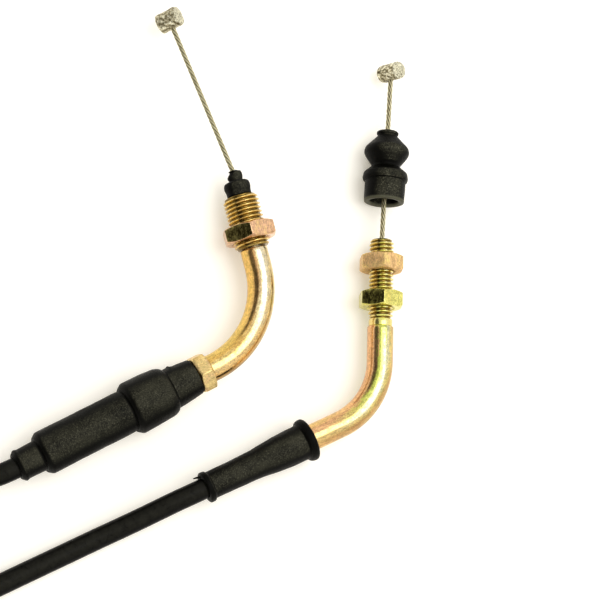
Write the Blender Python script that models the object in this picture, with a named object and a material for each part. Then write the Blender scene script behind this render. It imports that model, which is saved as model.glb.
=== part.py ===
"""Scooter throttle cable: a push-fit rubber-booted conduit with a bent steel elbow at each end.

Run with: blender --background --python part.py
Lengths in the constants below are millimetres and angles are degrees; meshes are built in metres.
The cable lies on the plane z = 0 and +Y points the way the free inner wires leave the two ends.
"""
import bmesh
import bpy
from math import cos, pi, radians, sin, tan
from mathutils import Matrix, Vector

MM = 0.001
GAP = 0.3                     # clearance left between touching pieces

# Inner wire, conduit and liner
WIRE_R = 0.6
CONDUIT_R = 2.5
WINDING_R = 1.9
WINDING_BORE_R = 1.25
WINDING_PITCH = 0.9
LINER_R = 1.55
LINER_BORE_R = 1.0

# Grip end: the inlet line runs up the threaded bush, the outlet line down the rubber boot
GRIP_CORNER = (14.7, -19.7)
GRIP_HEIGHT = 6.82
GRIP_INLET_HEADING = 105.2
GRIP_OUTLET_HEADING = 208.8
GRIP_BEND_R = 22.0
GRIP_TUBE_R = 3.3
GRIP_TUBE_BORE_R = 2.1
GRIP_SPIGOT_R = 2.5

BUSH_BOTTOM = 21.9            # distances up the inlet line from the corner of the elbow
BUSH_TOP = 34.7
BUSH_CREST_R = 4.0            # M8 x 1.0
BUSH_ROOT_R = 3.39
BUSH_BORE_R = 2.8
THREAD_PITCH = 1.0

GRIP_NUT_FLATS = 12.0
GRIP_NUT_BOTTOM = 23.6
GRIP_NUT_TOP = 27.6
GRIP_NUT_TURN = -10.4         # angle of one corner from straight up, to the right up the thread

CAP_BOTTOM = 35.0
CAP_SPIGOT_BOTTOM = 33.0
CAP_SHOULDER = 38.6
CAP_TOP = 41.4

GRIP_WIRE_HEADING = 113.4
GRIP_WIRE_CROSSING = 40.5     # where the leaning wire crosses the bush's axis
GRIP_WIRE_HIDDEN = 9.8        # length of the sliding wire below that crossing
GRIP_WIRE_REACH = 41.0        # crossing to the middle of the nipple
GRIP_NIPPLE_R = 2.45
GRIP_NIPPLE_LENGTH = 5.6
GRIP_NIPPLE_TURN = 38.0       # tilt of the nipple's axis from level, about the wire

# Grip end, down the outlet line from the corner of the elbow
SCREW_HEAD_START = 18.9
SCREW_HEAD_END = 22.2
SCREW_FLATS = 8.6
SCREW_TURN = -8.5             # of its head; a turn tips the corner from straight up to the right
SCREW_CREST_R = 2.95          # M6 x 1.0
SCREW_ROOT_R = 2.4
SCREW_THREAD_START = 32.0
SCREW_END = 48.0
SCREW_BORE_R = 1.85

ADJUSTER_NUT_START = 35.0
ADJUSTER_NUT_END = 38.0
ADJUSTER_NUT_FLATS = 9.0
M6_NUT_BORE_R = 3.3

BARREL_START = 38.6
BARREL_END = 62.0
BARREL_R = 4.1
BARREL_BORE_R = 3.4
BARREL_STEP_START = 50.2
BARREL_STEP_END = 51.4
BARREL_STEP_R = 1.3

FERRULE_R = 3.1
FERRULE_BORE_R = 2.82
FERRULE_HOLE_R = 1.0
FERRULE_WALL = 0.9
GRIP_FERRULE_START = 51.7
GRIP_FERRULE_END = 62.5
GRIP_WINDING_END = 55.6
GRIP_JACKET_START = 55.9
GRIP_CORE_END = 50.9

BOOT_START = 22.5
BOOT_COLLAR_END = 29.5
BOOT_RING_END = 40.5
BOOT_BODY_END = 63.6
BOOT_END = 70.1

# Carburettor end: the inlet line runs up the thread, the outlet line down the rubber sleeve
CARB_CORNER = (40.6, -35.6)
CARB_HEIGHT = 5.76
CARB_INLET_HEADING = 88.6
CARB_OUTLET_HEADING = 206.3
CARB_BEND_R = 18.0
CARB_TUBE_R = 3.2
CARB_TUBE_BORE_R = 2.1
CARB_THREAD_BORE_R = 1.6
CARB_THREAD_CREST_R = 3.0     # M6 x 1.0
CARB_THREAD_ROOT_R = 2.39
CARB_NECK_R = 2.87
CARB_NECK_BOTTOM = 19.6
CARB_THREAD_BOTTOM = 21.4
CARB_THREAD_TOP = 41.1
CARB_TUBE_END = 21.5
CARB_CORE_TOP = 26.2
CARB_CORE_END = 22.3
CARB_LINER_TOP = 19.0
CARB_LINER_END = 20.0

CARB_NUT_FLATS = 10.0
CARB_NUT_HEIGHT = 4.0
LOCK_NUT_BOTTOM = 24.1
ADJUST_NUT_BOTTOM = 33.2
CARB_NUT_TURN = -8.6

SLEEVE_START = 19.2
SLEEVE_FLANGE_END = 21.3
SLEEVE_WIDE_END = 26.4
SLEEVE_TAPER_END = 35.4
SLEEVE_RIM_START = 46.4
SLEEVE_END = 47.9
CARB_FERRULE_SPIGOT = 20.4
CARB_FERRULE_START = 21.8
CARB_FERRULE_END = 26.5
CARB_WINDING_END = 24.4
CARB_JACKET_START = 24.7

CARB_WIRE_HEADING = 86.4
CARB_WIRE_CROSSING = 41.0
CARB_WIRE_HIDDEN = 5.0
CARB_WIRE_REACH = 43.3
CARB_NIPPLE_R = 2.2
CARB_NIPPLE_LENGTH = 6.0
CARB_NIPPLE_TURN = 63.0

# Dust boot: (distance up the wire from the thread's top, radius), outside then inside
DUST_BOOT_OUTSIDE = [
    (9.7, 4.7), (10.2, 5.03), (14.0, 5.0), (14.3, 5.5), (15.0, 5.62), (15.8, 5.6), (17.4, 4.5),
    (18.5, 3.6), (19.0, 3.6), (20.2, 4.4), (21.9, 5.4), (22.9, 5.4), (24.8, 4.1), (26.9, 2.35),
    (27.3, 2.5), (28.0, 2.45)]
DUST_BOOT_INSIDE = [
    (28.0, 0.95), (26.6, 1.1), (24.4, 3.1), (22.8, 4.3), (21.9, 4.3), (20.1, 3.4), (18.9, 2.7),
    (18.4, 2.8), (16.9, 4.1), (15.6, 4.5), (14.8, 4.4), (14.2, 4.0), (9.7, 4.0)]

# Conduit on the table.  Route points are (x, y, z); each list runs away from its fitting.
GRIP_RUN_ROUTE = [
    (-52.8, -56.1, 6.4), (-57.8, -56.9, 6.3), (-62.8, -56.5, 6.7), (-67.2, -55.2, 7.3)]
CARB_RUN_ROUTE = [
    (-9.1, -60.1, 5.3), (-14.4, -62.8, 4.4), (-19.8, -65.5, 3.4), (-27.0, -69.0, 2.65),
    (-39.5, -75.2, 2.55), (-53.0, -81.9, 2.55), (-62.9, -86.7, 2.75), (-71.9, -90.9, 3.2)]
ROUTE_STEP = 9.0              # spacing of the points along the tubes of the runs

COIL_CENTRE = (-105.6, -68.4)
COIL_INNER_R = 17.4
COIL_OUTER_R = 37.6
COIL_BOTTOM = 1.4
COIL_TOP = 11.5
TIE_ANGLES = (150.0, 250.0)
TIE_WIDTH = 4.0
TIE_THICKNESS = 0.9

ROUND = 20                    # sides of the larger turned pieces
HEX_SIDES = 24                # sides of nuts, a multiple of 12 so that corners and flats both fall on one
THREADED = 16                 # sides of the threaded pieces
SMALL = 12                    # sides of wires, liners and other small bores
COIL_SIDES = 36
BEND_STEPS = 9


def clear_scene():
    for item in list(bpy.data.objects):
        bpy.data.objects.remove(item, do_unlink=True)


def make_material(name, colour, roughness, metallic):
    material = bpy.data.materials.new(name)
    material.use_nodes = True
    shader = material.node_tree.nodes["Principled BSDF"]
    shader.inputs["Base Color"].default_value = (*colour, 1.0)
    shader.inputs["Roughness"].default_value = roughness
    shader.inputs["Metallic"].default_value = metallic
    material.diffuse_color = (*colour, 1.0)
    return material


def zinc(name):
    return make_material(name, (0.80, 0.62, 0.26), 0.28, 1.0)


def rubber(name):
    return make_material(name, (0.025, 0.026, 0.022), 0.62, 0.0)


def steel_wire(name):
    return make_material(name, (0.46, 0.43, 0.34), 0.42, 1.0)


def cast_zinc(name):
    return make_material(name, (0.60, 0.58, 0.54), 0.55, 1.0)


def nylon(name):
    return make_material(name, (0.86, 0.86, 0.82), 0.45, 0.0)


def black_plastic(name):
    return make_material(name, (0.018, 0.018, 0.018), 0.38, 0.0)


def dark_steel(name):
    return make_material(name, (0.30, 0.29, 0.27), 0.45, 1.0)


# ---------------------------------------------------------------- placing

def heading(degrees):
    return Vector((cos(radians(degrees)), sin(radians(degrees)), 0.0))


def level_frame(point, degrees, height):
    """Frame whose +Z runs level along the heading and whose +Y points straight up."""
    along = heading(degrees)
    up = Vector((0.0, 0.0, 1.0))
    side = up.cross(along)
    frame = Matrix((side, up, along)).transposed().to_4x4()
    frame.translation = Vector((point[0], point[1], height))
    return frame


def moved(frame, distance):
    return frame @ Matrix.Translation((0.0, 0.0, distance))


def turned_about_z(frame, degrees):
    """The frame rolled about its own +Z so that its +Y tips towards its right side."""
    return frame @ Matrix.Rotation(radians(degrees), 4, "Z")


def elbow_frames(corner, height, inlet_heading, outlet_heading, bend_r):
    """Inlet frame (+Z away from the corner), outlet frame, and frames round the bend between."""
    inlet = level_frame(corner, inlet_heading, height)
    outlet = level_frame(corner, outlet_heading, height)
    turn = inlet_heading + 180.0 - outlet_heading
    tangent = bend_r * tan(radians(turn) / 2.0)
    middle = (heading(inlet_heading) + heading(outlet_heading)).normalized()
    centre = Vector((corner[0], corner[1], 0.0)) + middle * bend_r / cos(radians(turn) / 2.0)
    bend = []
    for step in range(BEND_STEPS + 1):
        travel = inlet_heading + 180.0 - turn * step / BEND_STEPS
        point = centre + heading(travel + 90.0) * bend_r
        bend.append(level_frame(point, travel, height))
    return inlet, outlet, bend, tangent


def reversed_frame(frame):
    """The same place with +Z pointing the other way and +Y still up."""
    return frame @ Matrix.Rotation(pi, 4, "Y")


# ---------------------------------------------------------------- meshing

def round_ring(radius, sides):
    return [(radius * sin(2 * pi * k / sides), radius * cos(2 * pi * k / sides))
            for k in range(sides)]


def hex_ring(flats, sides, largest=1e9):
    """A hexagon with a corner at +Y, its corners cut back to the largest radius."""
    points = []
    for k in range(sides):
        angle = 2 * pi * k / sides
        folded = (angle + pi / 6) % (pi / 3) - pi / 6
        radius = min(flats / 2 / cos(pi / 6 - abs(folded)), largest)
        points.append((radius * sin(angle), radius * cos(angle)))
    return points


def skin(name, place, sections, material, closed=True):
    """A solid through rings of points.  Each section is (frame, ring); a closed run of sections
    makes a hollow piece, an open one gets a flat cap at each end."""
    back = place.inverted()
    mesh = bmesh.new()
    rings = []
    for frame, ring in sections:
        rings.append([mesh.verts.new((back @ frame @ Vector((x, y, 0.0))) * MM) for x, y in ring])
    count = len(rings)
    for index in range(count if closed else count - 1):
        first = rings[index]
        second = rings[(index + 1) % count]
        for k in range(len(first)):
            n = (k + 1) % len(first)
            mesh.faces.new((first[k], first[n], second[n], second[k]))
    if not closed:
        mesh.faces.new(rings[0])
        mesh.faces.new(rings[-1])
    bmesh.ops.recalc_face_normals(mesh, faces=mesh.faces)
    data = bpy.data.meshes.new(name)
    mesh.to_mesh(data)
    mesh.free()
    data.shade_smooth()
    data.set_sharp_from_angle(angle=radians(35))
    data.materials.append(material)
    item = bpy.data.objects.new(name, data)
    bpy.context.scene.collection.objects.link(item)
    place = place.copy()
    place.translation = place.translation * MM
    item.matrix_world = place
    return item


def turned(name, frame, outside, inside, material, sides=ROUND):
    """A piece turned about the frame's +Z from (distance, radius) points.  The inside runs back
    the other way; with no inside the piece is solid."""
    sections = [(moved(frame, d), round_ring(r, sides)) for d, r in outside + inside]
    return skin(name, frame, sections, material, closed=bool(inside))


def thread_outline(start, end, crest_r, root_r, pitch=THREAD_PITCH):
    """Crests and roots of a thread as rings, with a chamfer at both ends."""
    count = int((end - start) / pitch)
    first = (start + end - count * pitch) / 2
    points = [(start, root_r)]
    for turn in range(count):
        points.append((first + turn * pitch + 0.15 * pitch, root_r))
        points.append((first + turn * pitch + 0.65 * pitch, crest_r))
    points.append((end, root_r))
    return points


def nut(name, frame, start, end, flats, bore_r, turn, material):
    """A hexagon nut with its corners chamfered on both faces and its bore countersunk."""
    hexagon = turned_about_z(frame, turn)
    washer_r = flats * 0.475
    bevel = 0.07 * flats
    sink = 0.35
    corner_cut = flats * 0.57
    sections = [
        (moved(hexagon, start), round_ring(washer_r, HEX_SIDES)),
        (moved(hexagon, start + bevel * 0.5), hex_ring(flats, HEX_SIDES, corner_cut * 0.97)),
        (moved(hexagon, start + bevel), hex_ring(flats, HEX_SIDES)),
        (moved(hexagon, end - bevel), hex_ring(flats, HEX_SIDES)),
        (moved(hexagon, end - bevel * 0.5), hex_ring(flats, HEX_SIDES, corner_cut * 0.97)),
        (moved(hexagon, end), round_ring(washer_r, HEX_SIDES)),
        (moved(hexagon, end), round_ring(bore_r + sink, HEX_SIDES)),
        (moved(hexagon, end - sink), round_ring(bore_r, HEX_SIDES)),
        (moved(hexagon, start + sink), round_ring(bore_r, HEX_SIDES)),
        (moved(hexagon, start), round_ring(bore_r + sink, HEX_SIDES))]
    return skin(name, frame, sections, material)


def wire_rod(name, frames, radius, material, sides=SMALL):
    return skin(name, frames[0], [(f, round_ring(radius, sides)) for f in frames], material, False)


def pipe(name, frames, radius, bore_r, material, sides=SMALL):
    outside = [(f, round_ring(radius, sides)) for f in frames]
    inside = [(f, round_ring(bore_r, sides)) for f in reversed(frames)]
    return skin(name, frames[0], outside + inside, material)


def nipple(name, wire_frame, reach, radius, length, turn, material):
    """A barrel nipple across the wire, with a blind hole for the wire's cast-in end."""
    centre = moved(wire_frame, reach)
    across = centre @ Matrix.Rotation(radians(-turn), 4, "Z") @ Matrix.Rotation(pi / 2, 4, "Y")
    edge = 0.25
    half = length / 2
    outline = [(-half, radius - edge), (-half + edge, radius), (half - edge, radius), (half, radius - edge)]
    barrel = turned(name, across, outline, [], material)
    drill_frames = [moved(wire_frame, reach - 2 * radius), moved(wire_frame, reach + 1.2)]
    drill = wire_rod(name + "_drill", drill_frames, WIRE_R + GAP, material)
    drill.hide_render = True
    drill.display_type = "WIRE"
    cut = barrel.modifiers.new("wire_hole", "BOOLEAN")
    cut.operation = "DIFFERENCE"
    cut.solver = "EXACT"
    cut.object = drill
    return barrel


# ---------------------------------------------------------------- grip end

def grip_frames():
    return elbow_frames(GRIP_CORNER, GRIP_HEIGHT, GRIP_INLET_HEADING, GRIP_OUTLET_HEADING, GRIP_BEND_R)


def grip_wire_frame():
    inlet = grip_frames()[0]
    point = moved(inlet, GRIP_WIRE_CROSSING).translation
    return level_frame(point, GRIP_WIRE_HEADING, GRIP_HEIGHT)


def make_grip_threaded_bush(inlet):
    outside = thread_outline(BUSH_BOTTOM, BUSH_TOP, BUSH_CREST_R, BUSH_ROOT_R)
    inside = [(BUSH_TOP, BUSH_BORE_R), (BUSH_BOTTOM, BUSH_BORE_R)]
    turned("grip_threaded_bush", inlet, outside, inside, zinc("grip_threaded_bush"), THREADED)


def make_grip_lock_nut(inlet):
    nut("grip_lock_nut", inlet, GRIP_NUT_BOTTOM, GRIP_NUT_TOP, GRIP_NUT_FLATS,
        BUSH_CREST_R + GAP, GRIP_NUT_TURN, zinc("grip_lock_nut"))


def make_grip_seal_cap(inlet):
    outside = [
        (CAP_SPIGOT_BOTTOM, 2.45), (CAP_BOTTOM, 2.45), (CAP_BOTTOM, 2.95), (CAP_BOTTOM + 0.5, 3.12),
        (CAP_BOTTOM + 1.9, 3.2), (CAP_SHOULDER - 0.6, 2.95), (CAP_SHOULDER - 0.1, 2.6),
        (CAP_SHOULDER + 0.2, 1.45), (CAP_SHOULDER + 0.7, 1.45), (CAP_SHOULDER + 1.0, 1.68),
        (CAP_SHOULDER + 1.5, 1.68), (CAP_SHOULDER + 1.8, 1.5), (CAP_TOP, 1.35)]
    inside = [(CAP_TOP, 1.1), (CAP_SHOULDER - 0.3, 1.1), (CAP_SHOULDER - 0.9, 1.95),
              (CAP_SPIGOT_BOTTOM, 1.95)]
    turned("grip_seal_cap", inlet, outside, inside, rubber("grip_seal_cap"), THREADED)


def make_grip_elbow_tube(inlet, outlet, bend):
    shoulder = reversed_frame(moved(inlet, BUSH_BOTTOM - GAP))
    spigot = reversed_frame(moved(inlet, BUSH_BOTTOM + 2.1))
    end_shoulder = moved(outlet, SCREW_HEAD_START - GAP)
    end_spigot = moved(outlet, SCREW_HEAD_START + 2.0)
    sides = THREADED
    outside = [(spigot, GRIP_SPIGOT_R), (shoulder, GRIP_SPIGOT_R), (shoulder, GRIP_TUBE_R)]
    outside += [(frame, GRIP_TUBE_R) for frame in bend]
    outside += [(end_shoulder, GRIP_TUBE_R), (end_shoulder, GRIP_SPIGOT_R), (end_spigot, GRIP_SPIGOT_R)]
    inside = [(end_spigot, GRIP_TUBE_BORE_R)] + [(frame, GRIP_TUBE_BORE_R) for frame in reversed(bend)]
    inside += [(spigot, GRIP_TUBE_BORE_R)]
    sections = [(frame, round_ring(radius, sides)) for frame, radius in outside + inside]
    skin("grip_elbow_tube", outlet, sections, zinc("grip_elbow_tube"))


def make_grip_liner_and_core(inlet, outlet, bend):
    liner_top = reversed_frame(moved(inlet, BUSH_BOTTOM + 3.0))
    core_top = reversed_frame(moved(inlet, BUSH_BOTTOM + 3.3))
    liner = [liner_top] + bend + [moved(outlet, SCREW_END - 0.5)]
    pipe("grip_elbow_liner", liner, LINER_R, LINER_BORE_R, nylon("grip_elbow_liner"))
    core = [core_top] + bend + [moved(outlet, GRIP_CORE_END)]
    wire_rod("grip_elbow_core_wire", core, WIRE_R, steel_wire("grip_elbow_core_wire"), 8)


def make_adjuster_screw(outlet):
    sides = SMALL
    hexagon = turned_about_z(outlet, SCREW_TURN)
    head_r = SCREW_FLATS * 0.475
    bevel = 0.3
    socket_r = GRIP_SPIGOT_R + GAP
    socket_end = SCREW_HEAD_START + 2.3
    sections = [
        (moved(hexagon, SCREW_HEAD_START), round_ring(head_r, sides)),
        (moved(hexagon, SCREW_HEAD_START + bevel), hex_ring(SCREW_FLATS, sides)),
        (moved(hexagon, SCREW_HEAD_END), hex_ring(SCREW_FLATS, sides))]
    shank = [(SCREW_HEAD_END, SCREW_CREST_R), (SCREW_THREAD_START - 0.4, SCREW_CREST_R)]
    shank += thread_outline(SCREW_THREAD_START, SCREW_END, SCREW_CREST_R, SCREW_ROOT_R)
    bore = [(SCREW_END, SCREW_BORE_R), (socket_end, SCREW_BORE_R), (socket_end, socket_r),
            (SCREW_HEAD_START, socket_r)]
    sections += [(moved(outlet, d), round_ring(r, sides)) for d, r in shank + bore]
    skin("adjuster_screw", outlet, sections, zinc("adjuster_screw"))


def make_adjuster_lock_nut(outlet):
    nut("adjuster_lock_nut", outlet, ADJUSTER_NUT_START, ADJUSTER_NUT_END, ADJUSTER_NUT_FLATS,
        M6_NUT_BORE_R, 10.0, zinc("adjuster_lock_nut"))


def make_adjuster_barrel(outlet):
    edge = 0.4
    outside = [(BARREL_START, BARREL_R - edge), (BARREL_START + edge, BARREL_R),
               (BARREL_END - edge, BARREL_R), (BARREL_END, BARREL_R - edge)]
    inside = [(BARREL_END, BARREL_BORE_R), (BARREL_STEP_END, BARREL_BORE_R),
              (BARREL_STEP_END, BARREL_STEP_R), (BARREL_STEP_START, BARREL_STEP_R),
              (BARREL_STEP_START, M6_NUT_BORE_R), (BARREL_START, M6_NUT_BORE_R)]
    turned("adjuster_barrel", outlet, outside, inside, zinc("adjuster_barrel"))


def make_ferrule(name, outlet, start, end):
    """A pressed cup over the conduit's end with a hole for the inner wire."""
    outside = [(start, FERRULE_R - 0.3), (start + 0.3, FERRULE_R), (end, FERRULE_R)]
    inside = [(end, FERRULE_BORE_R), (start + FERRULE_WALL, FERRULE_BORE_R),
              (start + FERRULE_WALL, FERRULE_HOLE_R), (start, FERRULE_HOLE_R)]
    turned(name, outlet, outside, inside, dark_steel(name), 16)


def make_winding(name, outlet, start, end):
    """The bared end of the conduit's spiral-wound steel."""
    outside = thread_outline(start, end, WINDING_R, WINDING_R - 0.25, WINDING_PITCH)
    inside = [(end, WINDING_BORE_R), (start, WINDING_BORE_R)]
    turned(name, outlet, outside, inside, dark_steel(name), SMALL)


def make_grip_boot(outlet):
    ring = BOOT_COLLAR_END
    outside = [
        (BOOT_START, 4.3), (BOOT_START + 0.3, 4.5), (ring - 0.2, 4.9), (ring + 0.1, 5.5),
        (ring + 1.2, 6.08), (ring + 4.0, 6.3), (BOOT_RING_END - 0.9, 6.48), (BOOT_RING_END - 0.2, 6.3),
        (BOOT_RING_END, 5.9), (BOOT_RING_END, 5.3), (BOOT_BODY_END - 0.9, 5.2),
        (BOOT_BODY_END - 0.2, 5.0), (BOOT_BODY_END, 4.6), (BOOT_BODY_END, 3.8),
        (BOOT_END - 0.5, 3.76), (BOOT_END, 3.4)]
    nut_room = ADJUSTER_NUT_FLATS / 2 / cos(pi / 6) + GAP
    inside = [
        (BOOT_END, CONDUIT_R + GAP), (BARREL_END + 1.2, CONDUIT_R + GAP),
        (BARREL_END + 0.9, BARREL_R + GAP), (BARREL_START - 0.2, BARREL_R + GAP),
        (BARREL_START - 0.3, nut_room), (ADJUSTER_NUT_START - 2.4, nut_room),
        (ADJUSTER_NUT_START - 2.9, SCREW_CREST_R + GAP + 0.05),
        (BOOT_START, SCREW_CREST_R + GAP + 0.05)]
    turned("grip_boot", outlet, outside, inside, rubber("grip_boot"))


def make_grip_pull():
    frame = grip_wire_frame()
    wire_rod("grip_wire", [moved(frame, -GRIP_WIRE_HIDDEN), moved(frame, GRIP_WIRE_REACH + 0.9)],
             WIRE_R, steel_wire("grip_wire"))
    nipple("grip_nipple", frame, GRIP_WIRE_REACH, GRIP_NIPPLE_R, GRIP_NIPPLE_LENGTH,
           GRIP_NIPPLE_TURN, cast_zinc("grip_nipple"))


def make_grip_end():
    inlet, outlet, bend, tangent = grip_frames()
    make_grip_threaded_bush(inlet)
    make_grip_lock_nut(inlet)
    make_grip_seal_cap(inlet)
    make_grip_elbow_tube(inlet, outlet, bend)
    make_grip_liner_and_core(inlet, outlet, bend)
    make_adjuster_screw(outlet)
    make_adjuster_lock_nut(outlet)
    make_adjuster_barrel(outlet)
    make_ferrule("grip_conduit_ferrule", outlet, GRIP_FERRULE_START, GRIP_FERRULE_END)
    make_winding("grip_casing_winding", outlet, GRIP_FERRULE_START + FERRULE_WALL + GAP, GRIP_WINDING_END)
    make_grip_boot(outlet)
    make_grip_pull()


# ---------------------------------------------------------------- carburettor end

def carb_frames():
    return elbow_frames(CARB_CORNER, CARB_HEIGHT, CARB_INLET_HEADING, CARB_OUTLET_HEADING, CARB_BEND_R)


def carb_wire_frame():
    inlet = carb_frames()[0]
    point = moved(inlet, CARB_WIRE_CROSSING).translation
    return level_frame(point, CARB_WIRE_HEADING, CARB_HEIGHT)


def make_carb_elbow_tube(inlet, outlet, bend):
    """The elbow tube with its thread cut on its own reduced end."""
    sides = THREADED
    thread = thread_outline(CARB_THREAD_BOTTOM, CARB_THREAD_TOP, CARB_THREAD_CREST_R, CARB_THREAD_ROOT_R)
    straight = list(reversed(thread))
    straight += [(CARB_THREAD_BOTTOM - 0.2, CARB_NECK_R), (CARB_NECK_BOTTOM, CARB_NECK_R),
                 (CARB_NECK_BOTTOM - 0.25, CARB_TUBE_R)]
    outside = [(reversed_frame(moved(inlet, d)), r) for d, r in straight]
    outside += [(frame, CARB_TUBE_R) for frame in bend]
    end = moved(outlet, CARB_TUBE_END)
    outside += [(end, CARB_TUBE_R)]
    inside = [(end, CARB_TUBE_BORE_R)] + [(frame, CARB_TUBE_BORE_R) for frame in reversed(bend)]
    for distance, radius in [(CARB_NECK_BOTTOM - 0.1, CARB_TUBE_BORE_R),
                             (CARB_NECK_BOTTOM + 0.4, CARB_THREAD_BORE_R),
                             (CARB_THREAD_TOP, CARB_THREAD_BORE_R)]:
        inside.append((reversed_frame(moved(inlet, distance)), radius))
    sections = [(frame, round_ring(radius, sides)) for frame, radius in outside + inside]
    skin("carb_elbow_tube", inlet, sections, zinc("carb_elbow_tube"))


def make_carb_liner_and_core(inlet, outlet, bend):
    liner_top = reversed_frame(moved(inlet, CARB_LINER_TOP))
    core_top = reversed_frame(moved(inlet, CARB_CORE_TOP))
    liner = [liner_top] + bend + [moved(outlet, CARB_LINER_END)]
    pipe("carb_elbow_liner", liner, LINER_R, LINER_BORE_R, nylon("carb_elbow_liner"))
    core = [core_top] + bend + [moved(outlet, CARB_CORE_END)]
    wire_rod("carb_elbow_core_wire", core, WIRE_R, steel_wire("carb_elbow_core_wire"), 8)


def make_carb_conduit_ferrule(outlet):
    """A cup over the conduit's end with a spigot that centres it in the elbow tube."""
    start = CARB_FERRULE_START
    spigot_r = CARB_TUBE_BORE_R - GAP
    outside = [(CARB_FERRULE_SPIGOT, spigot_r), (start, spigot_r), (start, FERRULE_R),
               (CARB_FERRULE_END, FERRULE_R)]
    inside = [(CARB_FERRULE_END, FERRULE_BORE_R), (start + FERRULE_WALL, FERRULE_BORE_R),
              (start + FERRULE_WALL, FERRULE_HOLE_R), (CARB_FERRULE_SPIGOT, FERRULE_HOLE_R)]
    turned("carb_conduit_ferrule", outlet, outside, inside, dark_steel("carb_conduit_ferrule"), 16)


def make_carb_sleeve(outlet):
    outside = [
        (SLEEVE_START, 4.7), (SLEEVE_START + 0.5, 5.15), (SLEEVE_FLANGE_END - 0.3, 5.2),
        (SLEEVE_FLANGE_END, 4.9), (SLEEVE_FLANGE_END, 4.15), (SLEEVE_WIDE_END, 4.25),
        (SLEEVE_WIDE_END + 3.0, 4.05), (SLEEVE_TAPER_END - 2.5, 3.55), (SLEEVE_TAPER_END, 3.42),
        (SLEEVE_RIM_START, 3.35), (SLEEVE_RIM_START + 0.1, 3.7), (SLEEVE_END, 3.65)]
    inside = [
        (SLEEVE_END, CONDUIT_R + GAP), (CARB_FERRULE_END + 0.8, CONDUIT_R + GAP),
        (CARB_FERRULE_END + 0.3, FERRULE_R + GAP), (CARB_TUBE_END + 0.2, FERRULE_R + GAP),
        (CARB_TUBE_END - 0.2, CARB_TUBE_R + GAP), (SLEEVE_START, CARB_TUBE_R + GAP)]
    turned("carb_sleeve", outlet, outside, inside, rubber("carb_sleeve"))


def make_carb_nuts(inlet):
    for name, bottom in (("carb_lock_nut", LOCK_NUT_BOTTOM), ("carb_adjust_nut", ADJUST_NUT_BOTTOM)):
        nut(name, inlet, bottom, bottom + CARB_NUT_HEIGHT, CARB_NUT_FLATS, M6_NUT_BORE_R,
            CARB_NUT_TURN, zinc(name))


def make_carb_dust_boot():
    turned("carb_dust_boot", carb_wire_frame(), DUST_BOOT_OUTSIDE, DUST_BOOT_INSIDE,
           rubber("carb_dust_boot"))


def make_carb_pull():
    frame = carb_wire_frame()
    wire_rod("carb_wire", [moved(frame, -CARB_WIRE_HIDDEN), moved(frame, CARB_WIRE_REACH + 0.9)],
             WIRE_R, steel_wire("carb_wire"))
    nipple("carb_nipple", frame, CARB_WIRE_REACH, CARB_NIPPLE_R, CARB_NIPPLE_LENGTH,
           CARB_NIPPLE_TURN, cast_zinc("carb_nipple"))


def make_carb_end():
    inlet, outlet, bend, tangent = carb_frames()
    make_carb_elbow_tube(inlet, outlet, bend)
    make_carb_liner_and_core(inlet, outlet, bend)
    make_carb_conduit_ferrule(outlet)
    make_winding("carb_casing_winding", outlet, CARB_FERRULE_START + FERRULE_WALL + GAP, CARB_WINDING_END)
    make_carb_sleeve(outlet)
    make_carb_nuts(inlet)
    make_carb_dust_boot()
    make_carb_pull()


# ---------------------------------------------------------------- conduit

def smooth_curve(points, step):
    """Points at an even spacing along a Catmull-Rom curve through the route."""
    dense = []
    padded = [points[0] * 2 - points[1]] + points + [points[-1] * 2 - points[-2]]
    for index in range(1, len(padded) - 2):
        a, b, c, d = padded[index - 1:index + 3]
        for part in range(20):
            t = part / 20
            dense.append(0.5 * (2 * b + (c - a) * t + (2 * a - 5 * b + 4 * c - d) * t * t
                                + (3 * b - a - 3 * c + d) * t ** 3))
    dense.append(points[-1])
    lengths = [0.0]
    for first, second in zip(dense, dense[1:]):
        lengths.append(lengths[-1] + (second - first).length)
    count = max(2, round(lengths[-1] / step))
    even = []
    index = 0
    for stop in range(count + 1):
        target = lengths[-1] * stop / count
        while index < len(lengths) - 2 and lengths[index + 1] < target:
            index += 1
        span = lengths[index + 1] - lengths[index]
        even.append(dense[index].lerp(dense[index + 1], (target - lengths[index]) / span))
    return even


def make_run(name, outlet, jacket_start, mouth, route):
    """Conduit from its ferrule, straight out of the rubber mouth, then along its route."""
    inside = [moved(outlet, jacket_start).translation, moved(outlet, (jacket_start + mouth) / 2).translation]
    leaving = [moved(outlet, mouth + 1.5).translation]
    points = inside + leaving + [Vector(p) for p in route]
    curve = bpy.data.curves.new(name, "CURVE")
    curve.dimensions = "3D"
    curve.bevel_depth = CONDUIT_R * MM
    curve.bevel_resolution = 2
    curve.use_fill_caps = True
    spline = curve.splines.new("POLY")
    even = smooth_curve(points, ROUTE_STEP)
    spline.points.add(len(even) - 1)
    for slot, point in zip(spline.points, even):
        slot.co = (*(point * MM), 1.0)
    curve.materials.append(black_plastic(name))
    item = bpy.data.objects.new(name, curve)
    bpy.context.scene.collection.objects.link(item)


def make_conduit_coil():
    """The outer shape of the wound length, two turns high and four turns wide."""
    frame = Matrix.Translation((COIL_CENTRE[0], COIL_CENTRE[1], 0.0))
    corner = 1.6
    outside = [(COIL_BOTTOM, COIL_OUTER_R - corner), (COIL_BOTTOM + corner, COIL_OUTER_R),
               (COIL_TOP - corner, COIL_OUTER_R), (COIL_TOP, COIL_OUTER_R - corner)]
    inside = [(COIL_TOP, COIL_INNER_R + corner), (COIL_TOP - corner, COIL_INNER_R),
              (COIL_BOTTOM + corner, COIL_INNER_R), (COIL_BOTTOM, COIL_INNER_R + corner)]
    turned("conduit_coil", frame, outside, inside, black_plastic("conduit_coil"), COIL_SIDES)


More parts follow.
